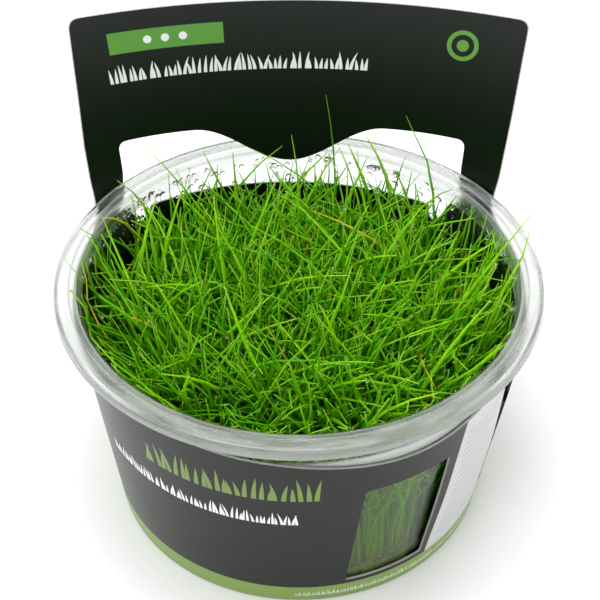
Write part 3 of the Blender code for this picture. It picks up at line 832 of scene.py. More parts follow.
def strokes(finish, along, height, row):
    """A printed row of grass: tapering blades of uneven height, that bend over the blades beside them."""
    along = finish.minus(along, row.start)
    up = finish.minus(height, row.foot)
    risen = finish.do("MAXIMUM", finish.over(up, row.height), 0.0)
    place = finish.over(along, row.spacing)
    drawing = 0.0
    for offset in (-1.0, 0.0, 1.0):
        number = finish.add(finish.do("FLOOR", place), offset)
        drawn = finish.split(wire(finish.tree, "ShaderNodeTexWhiteNoise", noise_dimensions="2D",
                                  named={"Vector": finish.joined(number, row.seed, 0.0)}).outputs[1])
        tall = finish.ease(drawn[0], 0.0, 1.0, 0.6, 1.0)
        bend = finish.times(finish.minus(drawn[1], 0.5), finish.do("POWER", risen, 1.6), 2.6)
        root = finish.add(finish.add(number, 0.5), finish.times(finish.minus(drawn[2], 0.5), 0.5))
        away = finish.do("ABSOLUTE", finish.minus(finish.minus(place, root), bend))
        half = finish.times(0.34, finish.minus(1.0, finish.do("POWER", finish.over(risen, tall), 2.0)))
        blade = finish.times(finish.ease(finish.minus(half, away), -0.04, 0.04),
                             finish.ease(finish.minus(tall, risen), 0.0, 0.03))
        drawing = finish.do("MAXIMUM", drawing, blade)
    return finish.times(drawing, finish.ease(up, -0.05, 0.05), finish.within(along, 0.0, row.length, 0.1))


def beyond(finish, value, limit):
    """0 below a limit and 1 above it, with the soft edge of printing ink."""
    return finish.ease(finish.minus(value, limit), -INK_EDGE, INK_EDGE)


def away_from(finish, x, y, place):
    """How far a point of the flat card is from a place on it."""
    across, up = place
    return finish.do("SQRT", finish.add(finish.do("POWER", finish.minus(x, across), 2.0),
                                        finish.do("POWER", finish.minus(y, up), 2.0)))


def flat_place(finish):
    """Arc length from the rear centre and height, as they are on the card laid flat."""
    laid = wire(finish.tree, "ShaderNodeUVMap", uv_map="laid_flat").outputs[0]
    return finish.split(laid)[:2]


def darker(colour):
    """A colour as it prints a little deeper."""
    return [part * 0.85 for part in colour]


def paper_grain(finish, place):
    """The fine tooth of coated board."""
    grain = finish.noise(place, 2600.0)
    finish.bump(grain, 0.00003, 0.5)
    finish.feed("Roughness", finish.ease(grain, *NOISE_SPREAD, 0.36, 0.46))


def printed_outside(settings):
    """The wrap's outside: near-black, a green band at its foot, grass strokes and an information panel."""
    finish = Finish("printed_card", specular_ior_level=0.05, coat_weight=0.46, coat_roughness=0.22)
    arc, height = flat_place(finish)
    along = finish.minus(finish.times(arc, -1.0), FRONT_ARC)
    place = finish.place()
    colour = finish.blend(finish.ease(finish.noise(place, 9.0), 0.35, 0.65),
                          settings.card_colour, darker(settings.card_colour))
    wide = strokes(finish, along, height, WIDE_ROW)
    colour = finish.blend(wide, colour, darker(settings.band_colour))
    colour = finish.blend(strokes(finish, along, height, SMALL_ROW), colour, settings.white)
    slant = finish.times(height, PANEL_SLANT)
    panel_left = finish.add(PANEL_LEFT, slant)
    rows = finish.over(height, RULE_SPACING)
    rules = finish.within(finish.do("FRACT", rows), 0.38, 0.62, 0.08)
    ragged = finish.noise(finish.joined(0.0, finish.do("FLOOR", rows), 0.0), 7.3)
    rule_end = finish.add(finish.ease(ragged, 0.35, 0.65, *RULE_ENDS), slant)
    lines = finish.times(rules, finish.minus(1.0, beyond(finish, along, rule_end)),
                         beyond(finish, along, finish.add(panel_left, 2.5)),
                         finish.within(height, *RULE_HEIGHTS, 0.1))
    sheet = finish.blend(finish.times(lines, 0.4), settings.panel_colour, RULE_INK)
    colour = finish.blend(beyond(finish, along, panel_left), colour, sheet)
    colour = finish.blend(beyond(finish, height, BAND_TOP), settings.band_colour, colour)
    marks = strokes(finish, along, height, BAND_ROW)
    colour = finish.blend(finish.times(marks, 0.6), colour, settings.white)
    finish.feed("Base Color", colour)
    paper_grain(finish, place)
    return finish.material


def printed_inside(settings):
    """The inside, which on the header carries a green box, a row of white grass strokes and a plain ring,
    with a painted sheen that lightens it towards the header's top.
    """
    finish = Finish("printed_card_inside", specular_ior_level=0.22)
    arc, height = flat_place(finish)
    level = finish.minus(height, finish.times(arc, arc, EDGE_RISE))
    place = finish.place()
    uneven = finish.times(finish.noise(place, 9.0), 4.0)
    # Painted sheen: the inside is near-black low down and lightens towards the header's top, as the light
    # falls on it
    top_sheen = finish.ease(finish.add(level, uneven), *HEADER_SHEEN_HEIGHTS)
    colour = finish.blend(top_sheen, settings.inside_colour, settings.top_sheen_colour)
    box = finish.times(finish.within(arc, *BOX_ARCS, 0.08), finish.within(level, *BOX_HEIGHTS, 0.08))
    colour = finish.blend(box, colour, settings.green)
    spacings = finish.over(finish.minus(arc, DOTS_ARCS[0]), DOTS_SPACING)
    across = finish.times(finish.do("FRACT", spacings), DOTS_SPACING)
    from_dot = away_from(finish, across, level, (DOTS_SPACING / 2.0, DOTS_HEIGHT))
    dots = finish.times(finish.ease(from_dot, DOT_RADIUS - 0.15, DOT_RADIUS, 1.0, 0.0),
                        finish.within(arc, *DOTS_ARCS, 0.05))
    colour = finish.blend(dots, colour, settings.white)
    colour = finish.blend(strokes(finish, arc, level, HEADER_ROW), colour, settings.white)
    from_ring = away_from(finish, arc, level, RING_PLACE)
    ring = finish.add(finish.within(from_ring, *RING_RADII, 0.08),
                      finish.ease(from_ring, RING_DOT, RING_DOT + 0.15, 1.0, 0.0))
    colour = finish.blend(ring, colour, settings.green)
    finish.feed("Base Color", colour)
    paper_grain(finish, place)
    return finish.material


def cut_board(settings):
    """The pale core of the board, seen along its cut edges."""
    finish = Finish("card_core", roughness=0.85)
    fibres = finish.noise(finish.place(), 3200.0, 3.0)
    finish.feed("Base Color", finish.blend(fibres, settings.core_colour, FIBRE_COLOUR))
    finish.bump(fibres, 0.00005, 0.6)
    return finish.material


def random_share(sums, low, high, number, seed, offset):
    """A random value for each blade or bead, from its number, so that the same seed grows the same grass."""
    node = wire(sums.tree, "FunctionNodeRandomValue", data_type="FLOAT",
                named={2: low, 3: high, 7: number, 8: sums.add(seed, offset)})
    return node.outputs[1]


BLADE_INPUTS = {
    "Blades": "Int", "Seed": "Int", "Inner Radius": "Float", "Outer Radius": "Float",
    "Middle Angle": "Float", "Half Angle": "Float", "Shortest": "Float", "Longest": "Float",
    "Stray Length": "Float", "Blade Width": "Float", "Drop Size": "Float", "Drops Only": "Bool",
    "Finish": "Material",
}
BEAD_INPUTS = {
    "Beads": "Int", "Seed": "Int", "Lowest": "Float", "Highest": "Float", "Smallest": "Float",
    "Largest": "Float", "Finish": "Material",
}


def empty_tree(name, inputs):
    """A Geometry Nodes tree with named inputs and one mesh as its output, and the sockets of its inputs."""
    tree = bpy.data.node_groups.new(name, "GeometryNodeTree")
    for label, kind in inputs.items():
        tree.interface.new_socket(label, in_out="INPUT", socket_type="NodeSocket" + kind)
    tree.interface.new_socket("Mesh", in_out="OUTPUT", socket_type="NodeSocketGeometry")
    return tree, wire(tree, "NodeGroupInput").outputs


def hand_over(tree, shape, finish):
    """End a tree with its shape smooth, real and in its finish."""
    shape = wire(tree, "GeometryNodeSetShadeSmooth", shape).outputs[0]
    shape = wire(tree, "GeometryNodeRealizeInstances", shape).outputs[0]
    shape = wire(tree, "GeometryNodeSetMaterial", shape, None, finish).outputs[0]
    wire(tree, "NodeGroupOutput", shape)


def around_axis(sums, angle, radius=1.0, height=0.0):
    """A place at an angle from +Y towards +X."""
    x = sums.times(radius, sums.do("SINE", angle))
    y = sums.times(radius, sums.do("COSINE", angle))
    return sums.joined(x, y, height)


def wall_limit(sums, height):
    """How far from the axis a blade may be at a height: just inside the wall, and further above the rim."""
    at_foot = (wall_inside(0.0) - WALL_ROOM) * MM
    inside = sums.add(at_foot, sums.times(sums.do("MINIMUM", height, WALL_HEIGHTS[1] * MM), TAPER))
    return sums.add(inside, sums.ease(height, *metres(OVER_THE_RIM), 0.0, RIM_OVERHANG * MM))


def header_limit(sums, height):
    """Centre and radius, at a height, of the bent surface that blades stay in front of.

    Its bow is nearly that of an arc: the square of half its length over its diameter, a little reduced.
    """
    share = sums.over(sums.minus(height, CUP_HEIGHT * MM), (HEADER_TOP - CUP_HEIGHT) * MM)
    radius = sums.add(HEADER_RADIUS_LOW * MM, sums.times(share, (HEADER_RADIUS_TOP - HEADER_RADIUS_LOW) * MM))
    half = (HEADER_HALF_LENGTH * MM) ** 2 / 2.0
    bow = sums.over(half * BOW_SHARE, radius)
    lean = sums.times(sums.minus(height, CUP_HEIGHT * MM), HEADER_LEAN)
    return sums.minus(sums.add(sums.add(lean, bow), HEADER_ENDS_Y * MM), radius), radius


def blade_tree():
    """Grows one plot's blades as thin tapering meshes, or the dew drops that sit on the same blades."""
    tree, given = empty_tree("grow_blades", BLADE_INPUTS)
    sums = Sums(tree)

    roots = wire(tree, "GeometryNodePoints", given["Blades"]).outputs[0]
    line = wire(tree, "GeometryNodeCurvePrimitiveLine", (0.0, 0.0, 0.0), (0.0, 0.0, 0.01)).outputs[0]
    line = wire(tree, "GeometryNodeResampleCurve", line, None, BLADE_POINTS).outputs[0]
    blades = wire(tree, "GeometryNodeInstanceOnPoints", roots, named={2: line}).outputs[0]
    blades = wire(tree, "GeometryNodeRealizeInstances", blades).outputs[0]

    number = wire(tree, "GeometryNodeCurveOfPoint").outputs[0]
    along = wire(tree, "GeometryNodeSplineParameter").outputs[0]
    seed = sums.times(given["Seed"], 50.0)

    def chance(offset, low=0.0, high=1.0):
        return random_share(sums, low, high, number, seed, offset)

    inner = sums.do("POWER", given["Inner Radius"], 2.0)
    outer = sums.do("POWER", given["Outer Radius"], 2.0)
    reach = sums.do("SQRT", sums.add(inner, sums.times(chance(1), sums.minus(outer, inner))))
    around = sums.add(given["Middle Angle"], sums.times(given["Half Angle"], chance(2, -1.0, 1.0)))
    outward = around_axis(sums, around)
    root = sums.vector("SCALE", outward, Scale=reach)
    root = sums.vector("ADD", root, (0.0, 0.0, ROOT_HEIGHT * MM))

    length = sums.add(given["Shortest"], sums.times(
        sums.do("POWER", chance(3), 0.8), sums.minus(given["Longest"], given["Shortest"])))
    stray = sums.times(sums.ease(chance(4), STRAYS_FROM, 1.0), sums.do("POWER", chance(5), 1.2))
    length = sums.add(length, sums.times(stray, given["Stray Length"]))
    loose = sums.ease(chance(16), *LOOSE_FROM)
    length = sums.add(length, sums.times(loose, LOOSE_EXTRA * MM))

    heading = chance(6, 0.0, math.tau)
    pull = sums.times(sums.ease(reach, *metres(PULL_REACH), *OUTWARD_PULL),
                      sums.ease(sums.do("COSINE", around), -0.1, 0.6, 1.0, PULL_BEHIND))
    pull = sums.vector("SCALE", outward, Scale=pull)
    heading = sums.vector("NORMALIZE", sums.vector("ADD", around_axis(sums, heading), pull))
    sideways = sums.vector("CROSS_PRODUCT", heading, (0.0, 0.0, 1.0))
    lean = sums.times(sums.do("POWER", chance(7), 1.2), sums.ease(reach, *metres(LEAN_REACH), *LEAN))
    lean = sums.add(lean, sums.times(loose, chance(17, 0.0, LOOSE_LEAN)))
    curl = sums.times(sums.do("POWER", chance(8), 1.7), CURL, sums.minus(1.0, loose))
    curl = sums.add(curl, sums.times(loose, chance(18, *LOOSE_CURL)))
    tilt = sums.add(sums.times(lean, sums.ease(along, 0.1, 0.75, *LEAN_ALONG)),
                    sums.times(curl, sums.do("POWER", along, 1.5)))
    wave = sums.do("SINE", sums.times(along, chance(10, *SWAY_WAVES)))
    sway = sums.times(chance(9, -SWAY, SWAY), wave)
    step = sums.vector("ADD", sums.vector("SCALE", heading, Scale=sums.do("SINE", tilt)),
                       sums.joined(0.0, 0.0, sums.do("COSINE", tilt)))
    step = sums.vector("NORMALIZE", sums.vector("ADD", step, sums.vector("SCALE", sideways, Scale=sway)))
    step = sums.vector("SCALE", step, Scale=sums.over(length, BLADE_POINTS - 1.0))
    summed = wire(tree, "GeometryNodeAccumulateField", step, number, data_type="FLOAT_VECTOR").outputs[1]
    place = sums.vector("ADD", root, summed)

    x, y, height = sums.split(place)
    centre, bend = header_limit(sums, height)
    behind = sums.minus(y, centre)
    away = sums.do("SQRT", sums.add(sums.do("POWER", x, 2.0), sums.do("POWER", behind, 2.0)))
    fits = sums.do("MINIMUM", sums.over(sums.minus(bend, HEADER_ROOM * MM), away), 1.0)
    x = sums.times(x, fits)
    y = sums.add(sums.times(behind, fits), centre)
    away = sums.do("SQRT", sums.add(sums.do("POWER", x, 2.0), sums.do("POWER", y, 2.0)))
    fits = sums.do("MINIMUM", sums.over(wall_limit(sums, height), away), 1.0)
    place = sums.joined(sums.times(x, fits), sums.times(y, fits), height)
    blades = wire(tree, "GeometryNodeSetPosition", blades, named={2: place}).outputs[0]

    tone = sums.add(sums.times(sums.do("POWER", chance(11), 1.5), TONE), sums.times(loose, LOOSE_TONE))
    tone = sums.minus(tone, sums.times(stray, STRAY_TONE))
    for name, value in (("along", along), ("tone", tone), ("age", chance(12)),
                        ("risen", sums.over(height, CANOPY_HEIGHT * MM))):
        blades = wire(tree, "GeometryNodeStoreNamedAttribute", blades, None, name, value,
                      data_type="FLOAT", domain="POINT").outputs[0]
    radius = sums.times(given["Blade Width"], chance(13, *WIDTH_SHARES))
    radius = sums.times(radius, sums.ease(along, 0.72, 1.06, 1.0, TIP_WIDTH),
                        sums.ease(stray, 0.0, 0.6, 1.0, STRAY_WIDTH))
    profile = wire(tree, "GeometryNodeCurvePrimitiveCircle", 3, named={4: 1.0}).outputs[0]
    grown = wire(tree, "GeometryNodeCurveToMesh", blades, profile, radius, True).outputs[0]

    points = wire(tree, "GeometryNodeCurveToPoints", blades, mode="EVALUATED").outputs[0]
    spot = wire(tree, "GeometryNodeInputIndex").outputs[0]
    picked = random_share(sums, 0.0, 1.0, spot, seed, 14)
    spot_height = sums.split(wire(tree, "GeometryNodeInputPosition").outputs[0])[2]
    picked = sums.times(sums.do("GREATER_THAN", picked, DEW_FROM),
                        sums.do("GREATER_THAN", spot_height, DEW_LOWEST * MM))
    bead = wire(tree, "GeometryNodeMeshIcoSphere", given["Drop Size"], 2).outputs[0]
    size = random_share(sums, *DEW_SIZES, spot, seed, 15)
    dew = wire(tree, "GeometryNodeInstanceOnPoints", points, picked, bead, named={6: size}).outputs[0]

    shown = wire(tree, "GeometryNodeSwitch", given["Drops Only"], grown, dew, input_type="GEOMETRY")
    hand_over(tree, shown.outputs[0], given["Finish"])
    return tree


def grown_mesh(name, tree, inputs):
    """Evaluate a Geometry Nodes tree with its inputs set by their identifiers, and keep the plain mesh."""
    holder = bpy.data.objects.new(name + "_nodes", bpy.data.meshes.new(name + "_nodes"))
    bpy.context.scene.collection.objects.link(holder)
    grower = holder.modifiers.new("grow", "NODES")
    grower.node_group = tree
    for item in tree.interface.items_tree:
        if item.in_out == "INPUT" and item.name in inputs:
            grower[item.identifier] = inputs[item.name]
    holder.update_tag()
    bpy.context.view_layer.update()
    graph = bpy.context.evaluated_depsgraph_get()
    mesh = bpy.data.meshes.new_from_object(holder.evaluated_get(graph), depsgraph=graph)
    mesh.name = name
    bpy.data.objects.remove(holder, do_unlink=True)
    return mesh


def plots():
    """Each tuft's plot on the gel: its inner and outer radius, middle angle and half angle."""
    for inner, outer, count in TUFT_RINGS:
        for index in range(count):
            yield inner, outer, math.tau * (index + 0.5) / count, math.pi / count


def blade_finish(settings):
    """Fresh blades: deep green low in the canopy as painted shade, bright above, paler at the tips, a few
    yellow ones.
    """
    finish = Finish("hairgrass", roughness=settings.roughness, specular_ior_level=0.16)
    along = finish.attribute("along")
    tone = finish.attribute("tone")
    age = finish.attribute("age")
    risen = finish.attribute("risen")
    # Painted shade: blades turn deep green low down in the canopy, where its own shade falls
    lit = finish.ease(risen, *LIT_RISE)
    upper = finish.blend(tone, settings.fresh_colour, settings.bright_colour)
    colour = finish.blend(lit, settings.deep_colour, upper)
    streaks = finish.noise(finish.vector("MULTIPLY", finish.place(), (1.0, 1.0, 0.15)), 1500.0)
    colour = finish.blend(finish.ease(streaks, 0.35, 0.75, 0.0, 0.3), colour, settings.deep_colour)
    tip = finish.times(finish.ease(along, TIP_FROM, 1.0), TIP_TINT)
    colour = finish.blend(tip, colour, settings.tip_colour)
    yellow = finish.times(finish.ease(age, *YELLOW_AGE), finish.ease(along, *YELLOW_FROM))
    colour = finish.blend(yellow, colour, settings.yellow_colour)
    orange = finish.times(finish.ease(age, *ORANGE_AGE), finish.ease(along, *ORANGE_FROM))
    colour = finish.blend(orange, colour, settings.orange_colour)
    finish.feed("Base Color", colour)
    finish.feed("Subsurface Weight", settings.translucency)
    finish.feed("Subsurface Radius", (0.6, 1.0, 0.15))
    finish.feed("Subsurface Scale", 0.001)
    return finish.material


def water_finish():
    """Clear water, for the dew on the blades and the fog on the wall."""
    finish = Finish("water", base_color=(1.0, 1.0, 1.0), roughness=0.0, ior=1.33)
    finish.feed("Transmission Weight", 1.0)
    return finish.material


def bead_tree():
    """Scatters flat beads of water over the wall's inner face, between two heights."""
    tree, given = empty_tree("scatter_beads", BEAD_INPUTS)
    sums = Sums(tree)
    number = wire(tree, "GeometryNodeInputIndex").outputs[0]

    def chance(offset, low=0.0, high=1.0):
        return random_share(sums, low, high, number, given["Seed"], offset)

    spread = chance(1, -1.0, 1.0)
    around = sums.times(sums.do("SIGN", spread), BEADS_REACH,
                        sums.do("POWER", sums.do("ABSOLUTE", spread), 1.2))
    height = sums.minus(given["Highest"], sums.times(sums.do("POWER", chance(2), 1.8),
                                                     sums.minus(given["Highest"], given["Lowest"])))
    radius = sums.add((wall_inside(0.0) - BEAD_WALL_GAP) * MM, sums.times(height, TAPER))
    place = around_axis(sums, around, radius, height)
    points = wire(tree, "GeometryNodePoints", given["Beads"], place).outputs[0]
    bead = wire(tree, "GeometryNodeMeshIcoSphere", 1.0, 2).outputs[0]
    size = sums.add(given["Smallest"], sums.times(sums.do("POWER", chance(3), 3.0),
                                                  sums.minus(given["Largest"], given["Smallest"])))
    turn = sums.joined(0.0, 0.0, sums.times(around, -1.0))
    scale = sums.joined(size, sums.times(size, BEAD_DEPTH), sums.times(size, chance(4, *BEAD_HEIGHTS)))
    beads = wire(tree, "GeometryNodeInstanceOnPoints", points, named={2: bead, 5: turn, 6: scale}).outputs[0]
    hand_over(tree, beads, given["Finish"])
    return tree


def colour_setting(name, description, default):
    return bpy.props.FloatVectorProperty(name=name, description=description, default=default,
                                         subtype="COLOR", size=3, min=0.0, max=1.0)


def number_setting(name, description, default, **limits):
    return bpy.props.FloatProperty(name=name, description=description, default=default, **limits)


def share_setting(name, description, default):
    return number_setting(name, description, default, min=0.0, max=1.0, subtype="FACTOR")


def count_setting(name, description, default, least=0):
    return bpy.props.IntProperty(name=name, description=description, default=default, min=least)


def length_setting(name, description, default):
    return bpy.props.FloatProperty(name=name, description=description, default=default,
                                   unit="LENGTH", min=0.0, precision=5)


class HAIRGRASS_PG_stage(bpy.types.PropertyGroup):
    floor_size: length_setting("Floor Size", "Width of the pale floor", 6.0)
    floor_colour: colour_setting("Floor Colour", "Colour of the floor", (0.82, 0.82, 0.82))
    sky: number_setting("Sky", "Strength of the light all round", 1.12, min=0.0)
    key: number_setting("Key", "Power of the large lamp above", 5.3, min=0.0, subtype="POWER")


class HAIRGRASS_PG_cup(bpy.types.PropertyGroup):
    segments: count_setting("Segments", "Facets round the cup", 192, least=24)
    colour: colour_setting("Colour", "Tint of the clear plastic", (0.94, 0.96, 0.95))
    # Colour of the painted reflection on the wall beside the window
    sheen_patch_colour: colour_setting("Mist Colour", "Tint of the wall where it is misted", (0.64, 0.86, 0.34))
    roughness: share_setting("Roughness", "Roughness of the wall", 0.06)
    ior: number_setting("IOR", "Index of refraction of the wall", 1.22, min=1.0)
    rim_colour: colour_setting("Rim Colour", "Tint of the milky rim", (0.86, 0.88, 0.86))
    # Colour of the skirt's painted shade at the front, and of the two rings
    skirt_shade_colour: colour_setting("Skirt Colour", "Tint of the rim's skirt", (0.30, 0.32, 0.29))
    rim_ior: number_setting("Rim IOR", "Index of refraction of the rim", 1.49, min=1.0)
    rim_clearness: share_setting("Rim Clearness", "How much light the rim lets through", 0.95)


class HAIRGRASS_PG_sleeve(bpy.types.PropertyGroup):
    arc_step: length_setting("Arc Step", "Mesh spacing round the card", 0.0017)
    height_step: length_setting("Height Step", "Mesh spacing up the card", 0.0025)
    card_colour: colour_setting("Card Colour", "Near-black print", (0.010, 0.012, 0.010))
    inside_colour: colour_setting("Inside Colour", "Near-black print on the inside", (0.002, 0.005, 0.0025))
    # Colour of the painted sheen at the header's top
    top_sheen_colour: colour_setting("Top Colour", "Print on the inside at the header's top", (0.016, 0.018, 0.017))
    green: colour_setting("Green", "Green print", (0.11, 0.31, 0.055))
    band_colour: colour_setting("Band Colour", "Green band at the foot", (0.20, 0.31, 0.075))
    panel_colour: colour_setting("Panel Colour", "Pale information panel", (0.55, 0.56, 0.56))
    white: colour_setting("White", "White print", (0.80, 0.81, 0.80))
    core_colour: colour_setting("Core Colour", "Cut edge of the board", (0.5, 0.5, 0.48))


class HAIRGRASS_PG_gel(bpy.types.PropertyGroup):
    colour: colour_setting("Colour", "Gel where it is clear", (0.13, 0.14, 0.05))
    deep_colour: colour_setting("Deep Colour", "Gel where it is cloudy", (0.06, 0.07, 0.02))
    root_colour: colour_setting("Root Colour", "Roots in the gel", (0.34, 0.34, 0.20))


class HAIRGRASS_PG_grass(bpy.types.PropertyGroup):
    blades: count_setting("Blades", "Blades on each square centimetre of gel", 88, least=1)
    shortest: length_setting("Shortest", "Length of the shortest blades", 0.034)
    longest: length_setting("Longest", "Length of the usual longest blades", 0.051)
    stray: length_setting("Stray Length", "How much longer the strays grow", 0.018)
    width: length_setting("Blade Width", "About the width of the widest blades", 0.00104)
    drop: length_setting("Drop Size", "Radius of the largest dew drops", 0.00048)
    seed: count_setting("Seed", "Seed of the grass", 7)
    # Painted shade of the canopy's depth, low down near the gel
    deep_colour: colour_setting("Deep Colour", "Blades near the gel", (0.042, 0.22, 0.001))
    fresh_colour: colour_setting("Fresh Colour", "The darker blades on top", (0.058, 0.31, 0.001))
    bright_colour: colour_setting("Bright Colour", "The brightest blades on top", (0.28, 0.66, 0.002))
    tip_colour: colour_setting("Tip Colour", "Blade tips", (0.34, 0.75, 0.06))
    yellow_colour: colour_setting("Yellow Colour", "Ageing blades", (0.62, 0.50, 0.03))
    orange_colour: colour_setting("Orange Colour", "Dying tips", (0.62, 0.25, 0.03))
    roughness: share_setting("Roughness", "Roughness of the blades", 0.38)
    translucency: share_setting("Translucency", "How much light goes into a blade", 0.55)


class HAIRGRASS_PG_fog(bpy.types.PropertyGroup):
    beads: count_setting("Beads", "Beads of water on the wall", 1500)
    lowest: length_setting("Lowest", "Lowest bead", 0.012)
    highest: length_setting("Highest", "Highest bead", 0.053)
    smallest: length_setting("Smallest", "Radius of the smallest bead", 0.00015)
    largest: length_setting("Largest", "Radius of the largest bead", 0.0010)
    seed: count_setting("Seed", "Seed of the beads", 3)


def soft_lamp(name, place, size, power):
    """Hang a round lamp of a size in metres at a place, and point it at the grass."""
    data = bpy.data.lights.new(name, "AREA")
    data.shape = "DISK"
    data.size = size
    data.energy = power
    lamp = bpy.data.objects.new(name, data)
    lamp.location = Vector(place) * MM
    bpy.context.scene.collection.objects.link(lamp)
    direction = Vector(LAMP_TARGET) * MM - lamp.location
    lamp.rotation_euler = direction.to_track_quat("-Z", "Y").to_euler()


class HAIRGRASS_OT_stage(bpy.types.Operator):
    """Lay the pale floor, hang the soft lamps and set up the camera"""

    bl_idname = "hairgrass.stage"
    bl_label = "Stage"

    def execute(self, context):
        settings = context.scene.hairgrass_stage
        shape = bmesh.new()
        bmesh.ops.create_grid(shape, x_segments=1, y_segments=1, size=settings.floor_size / 2.0)
        floor = add_piece("floor", shape, [Finish("floor_paper", base_color=tuple(settings.floor_colour),
                                                  roughness=0.9).material])
        world = bpy.data.worlds.new("studio")
        world.use_nodes = True
        sky = world.node_tree.nodes["Background"]
        sky.inputs["Color"].default_value = (1.0, 1.0, 1.0, 1.0)
        sky.inputs["Strength"].default_value = settings.sky
        context.scene.world = world
        soft_lamp("lamp_above", LAMP_ABOVE, LAMP_ABOVE_SIZE, settings.key)
        soft_lamp("lamp_left", LAMP_LEFT, LAMP_LEFT_SIZE, settings.key * LAMP_LEFT_SHARE)
        data = bpy.data.cameras.new("camera")
        data.lens = CAMERA_LENS
        data.sensor_width = SENSOR_WIDTH
        camera = bpy.data.objects.new("camera", data)
        camera.location = Vector(CAMERA_PLACE) * MM
        camera.rotation_euler = (math.radians(CAMERA_TILT), 0.0, 0.0)
        context.scene.collection.objects.link(camera)
        context.scene.camera = camera
        context.scene.view_settings.view_transform = "Standard"
        return {"FINISHED"}


class HAIRGRASS_OT_cup(bpy.types.Operator):
    """Form the clear cup with its milky rim"""

    bl_idname = "hairgrass.cup"
    bl_label = "Cup"

    def execute(self, context):
        settings = context.scene.hairgrass_cup
        shape = turned(cup_profile(), settings.segments)
        least_radius, least_height = metres(RIM_FROM)
        for face in shape.faces:
            middle = face.calc_center_median()
            face.material_index = int(middle.xy.length > least_radius and middle.z > least_height)
        finishes = [clear_plastic(settings), milky_plastic(settings)]
        settle(add_piece("clear_cup", shape, finishes, 50.0), "clear_plastic", "cup")
        return {"FINISHED"}


class HAIRGRASS_OT_gel(bpy.types.Operator):
    """Pour the growing gel with its roots"""

    bl_idname = "hairgrass.gel"
    bl_label = "Growing Gel"

    def execute(self, context):
        shape = turned(gel_profile(), context.scene.hairgrass_cup.segments // 2)
        gel = add_piece("rooted_gel", shape, [rooted_gel(context.scene.hairgrass_gel)], 50.0)
        settle(gel, "growing_gel", "growing_gel")
        return {"FINISHED"}


class HAIRGRASS_OT_sleeve(bpy.types.Operator):
    """Cut, print and bend the card sleeve with its header"""

    bl_idname = "hairgrass.sleeve"
    bl_label = "Card Sleeve"

    def execute(self, context):
        settings = context.scene.hairgrass_sleeve
        finishes = [printed_outside(settings), printed_inside(settings), cut_board(settings)]
        sleeve = add_piece("printed_sleeve", card_sheet(settings), finishes, 40.0)
        settle(sleeve, "printed_card", "card_sleeve")
        return {"FINISHED"}


class HAIRGRASS_OT_grass(bpy.types.Operator):
    """Grow the fine blades of every tuft, and the dew that sits on them"""

    bl_idname = "hairgrass.grass"
    bl_label = "Hairgrass"

    def execute(self, context):
        settings = context.scene.hairgrass_grass
        tree = blade_tree()
        finish = blade_finish(settings)
        water = water_finish()
        dew = bmesh.new()
        for number, (node, plot) in enumerate(zip(TUFT_NODES, plots(), strict=True)):
            inner, outer, middle, half = plot
            area = (outer ** 2 - inner ** 2) * half / 100.0
            inputs = {
                "Blades": round(area * settings.blades), "Seed": settings.seed + number,
                "Inner Radius": inner * MM, "Outer Radius": outer * MM, "Middle Angle": middle,
                "Half Angle": half, "Shortest": settings.shortest, "Longest": settings.longest,
                "Stray Length": settings.stray, "Blade Width": settings.width, "Drop Size": settings.drop,
                "Drops Only": False, "Finish": finish,
            }
            tuft = bpy.data.objects.new("fine_" + node, grown_mesh("fine_" + node, tree, inputs))
            if not tuft.data.polygons:
                raise RuntimeError(f"no blades grew for {node}")
            context.scene.collection.objects.link(tuft)
            settle(tuft, "hairgrass", node)
            inputs.update({"Drops Only": True, "Finish": water})
            drops = grown_mesh("dew", tree, inputs)
            dew.from_mesh(drops)
            bpy.data.meshes.remove(drops)
        settle(add_piece("dew_drops", dew, [water]), "clear_plastic")
        return {"FINISHED"}


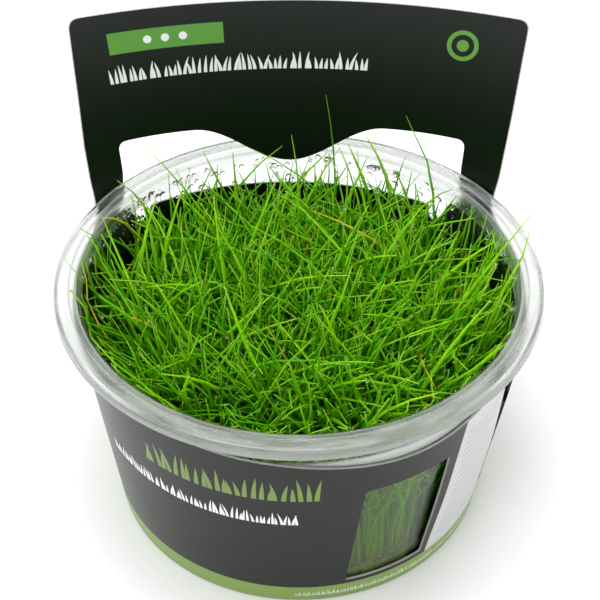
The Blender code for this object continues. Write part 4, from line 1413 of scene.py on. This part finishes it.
class HAIRGRASS_OT_fog(bpy.types.Operator):
    """Scatter the beads of water over the wall's inner face"""

    bl_idname = "hairgrass.fog"
    bl_label = "Condensation"

    def execute(self, context):
        settings = context.scene.hairgrass_fog
        inputs = {
            "Beads": settings.beads, "Seed": settings.seed, "Lowest": settings.lowest,
            "Highest": settings.highest, "Smallest": settings.smallest, "Largest": settings.largest,
            "Finish": bpy.data.materials["water"],
        }
        beads = bpy.data.objects.new("wall_drops", grown_mesh("wall_drops", bead_tree(), inputs))
        context.scene.collection.objects.link(beads)
        settle(beads, "clear_plastic")
        return {"FINISHED"}


GROUPS = {
    "hairgrass_stage": HAIRGRASS_PG_stage, "hairgrass_cup": HAIRGRASS_PG_cup,
    "hairgrass_sleeve": HAIRGRASS_PG_sleeve, "hairgrass_gel": HAIRGRASS_PG_gel,
    "hairgrass_grass": HAIRGRASS_PG_grass, "hairgrass_fog": HAIRGRASS_PG_fog,
}
STEPS = (HAIRGRASS_OT_stage, HAIRGRASS_OT_cup, HAIRGRASS_OT_gel, HAIRGRASS_OT_sleeve, HAIRGRASS_OT_grass,
         HAIRGRASS_OT_fog)


class HAIRGRASS_PT_panel(bpy.types.Panel):
    """Lists the pieces with their settings"""

    bl_idname = "HAIRGRASS_PT_panel"
    bl_label = "Dwarf Hairgrass"
    bl_space_type = "VIEW_3D"
    bl_region_type = "UI"
    bl_category = "Hairgrass"

    def draw(self, context):
        for step in STEPS:
            box = self.layout.box()
            box.operator(step.bl_idname)
            group = "hairgrass_" + step.bl_idname.split(".")[1]
            settings = getattr(context.scene, group)
            for name in GROUPS[group].__annotations__:
                box.prop(settings, name)


def register():
    for name, group in GROUPS.items():
        bpy.utils.register_class(group)
        setattr(bpy.types.Scene, name, bpy.props.PointerProperty(type=group))
    for step in STEPS + (HAIRGRASS_PT_panel,):
        bpy.utils.register_class(step)


def unregister():
    for step in (HAIRGRASS_PT_panel,) + STEPS:
        bpy.utils.unregister_class(step)
    for name, group in GROUPS.items():
        delattr(bpy.types.Scene, name)
        bpy.utils.unregister_class(group)


def main():
    register()
    bpy.ops.hairgrass.stage()
    bpy.ops.hairgrass.cup()
    bpy.ops.hairgrass.gel()
    bpy.ops.hairgrass.sleeve()
    bpy.ops.hairgrass.grass()
    bpy.ops.hairgrass.fog()


if __name__ == "__main__":
    main()
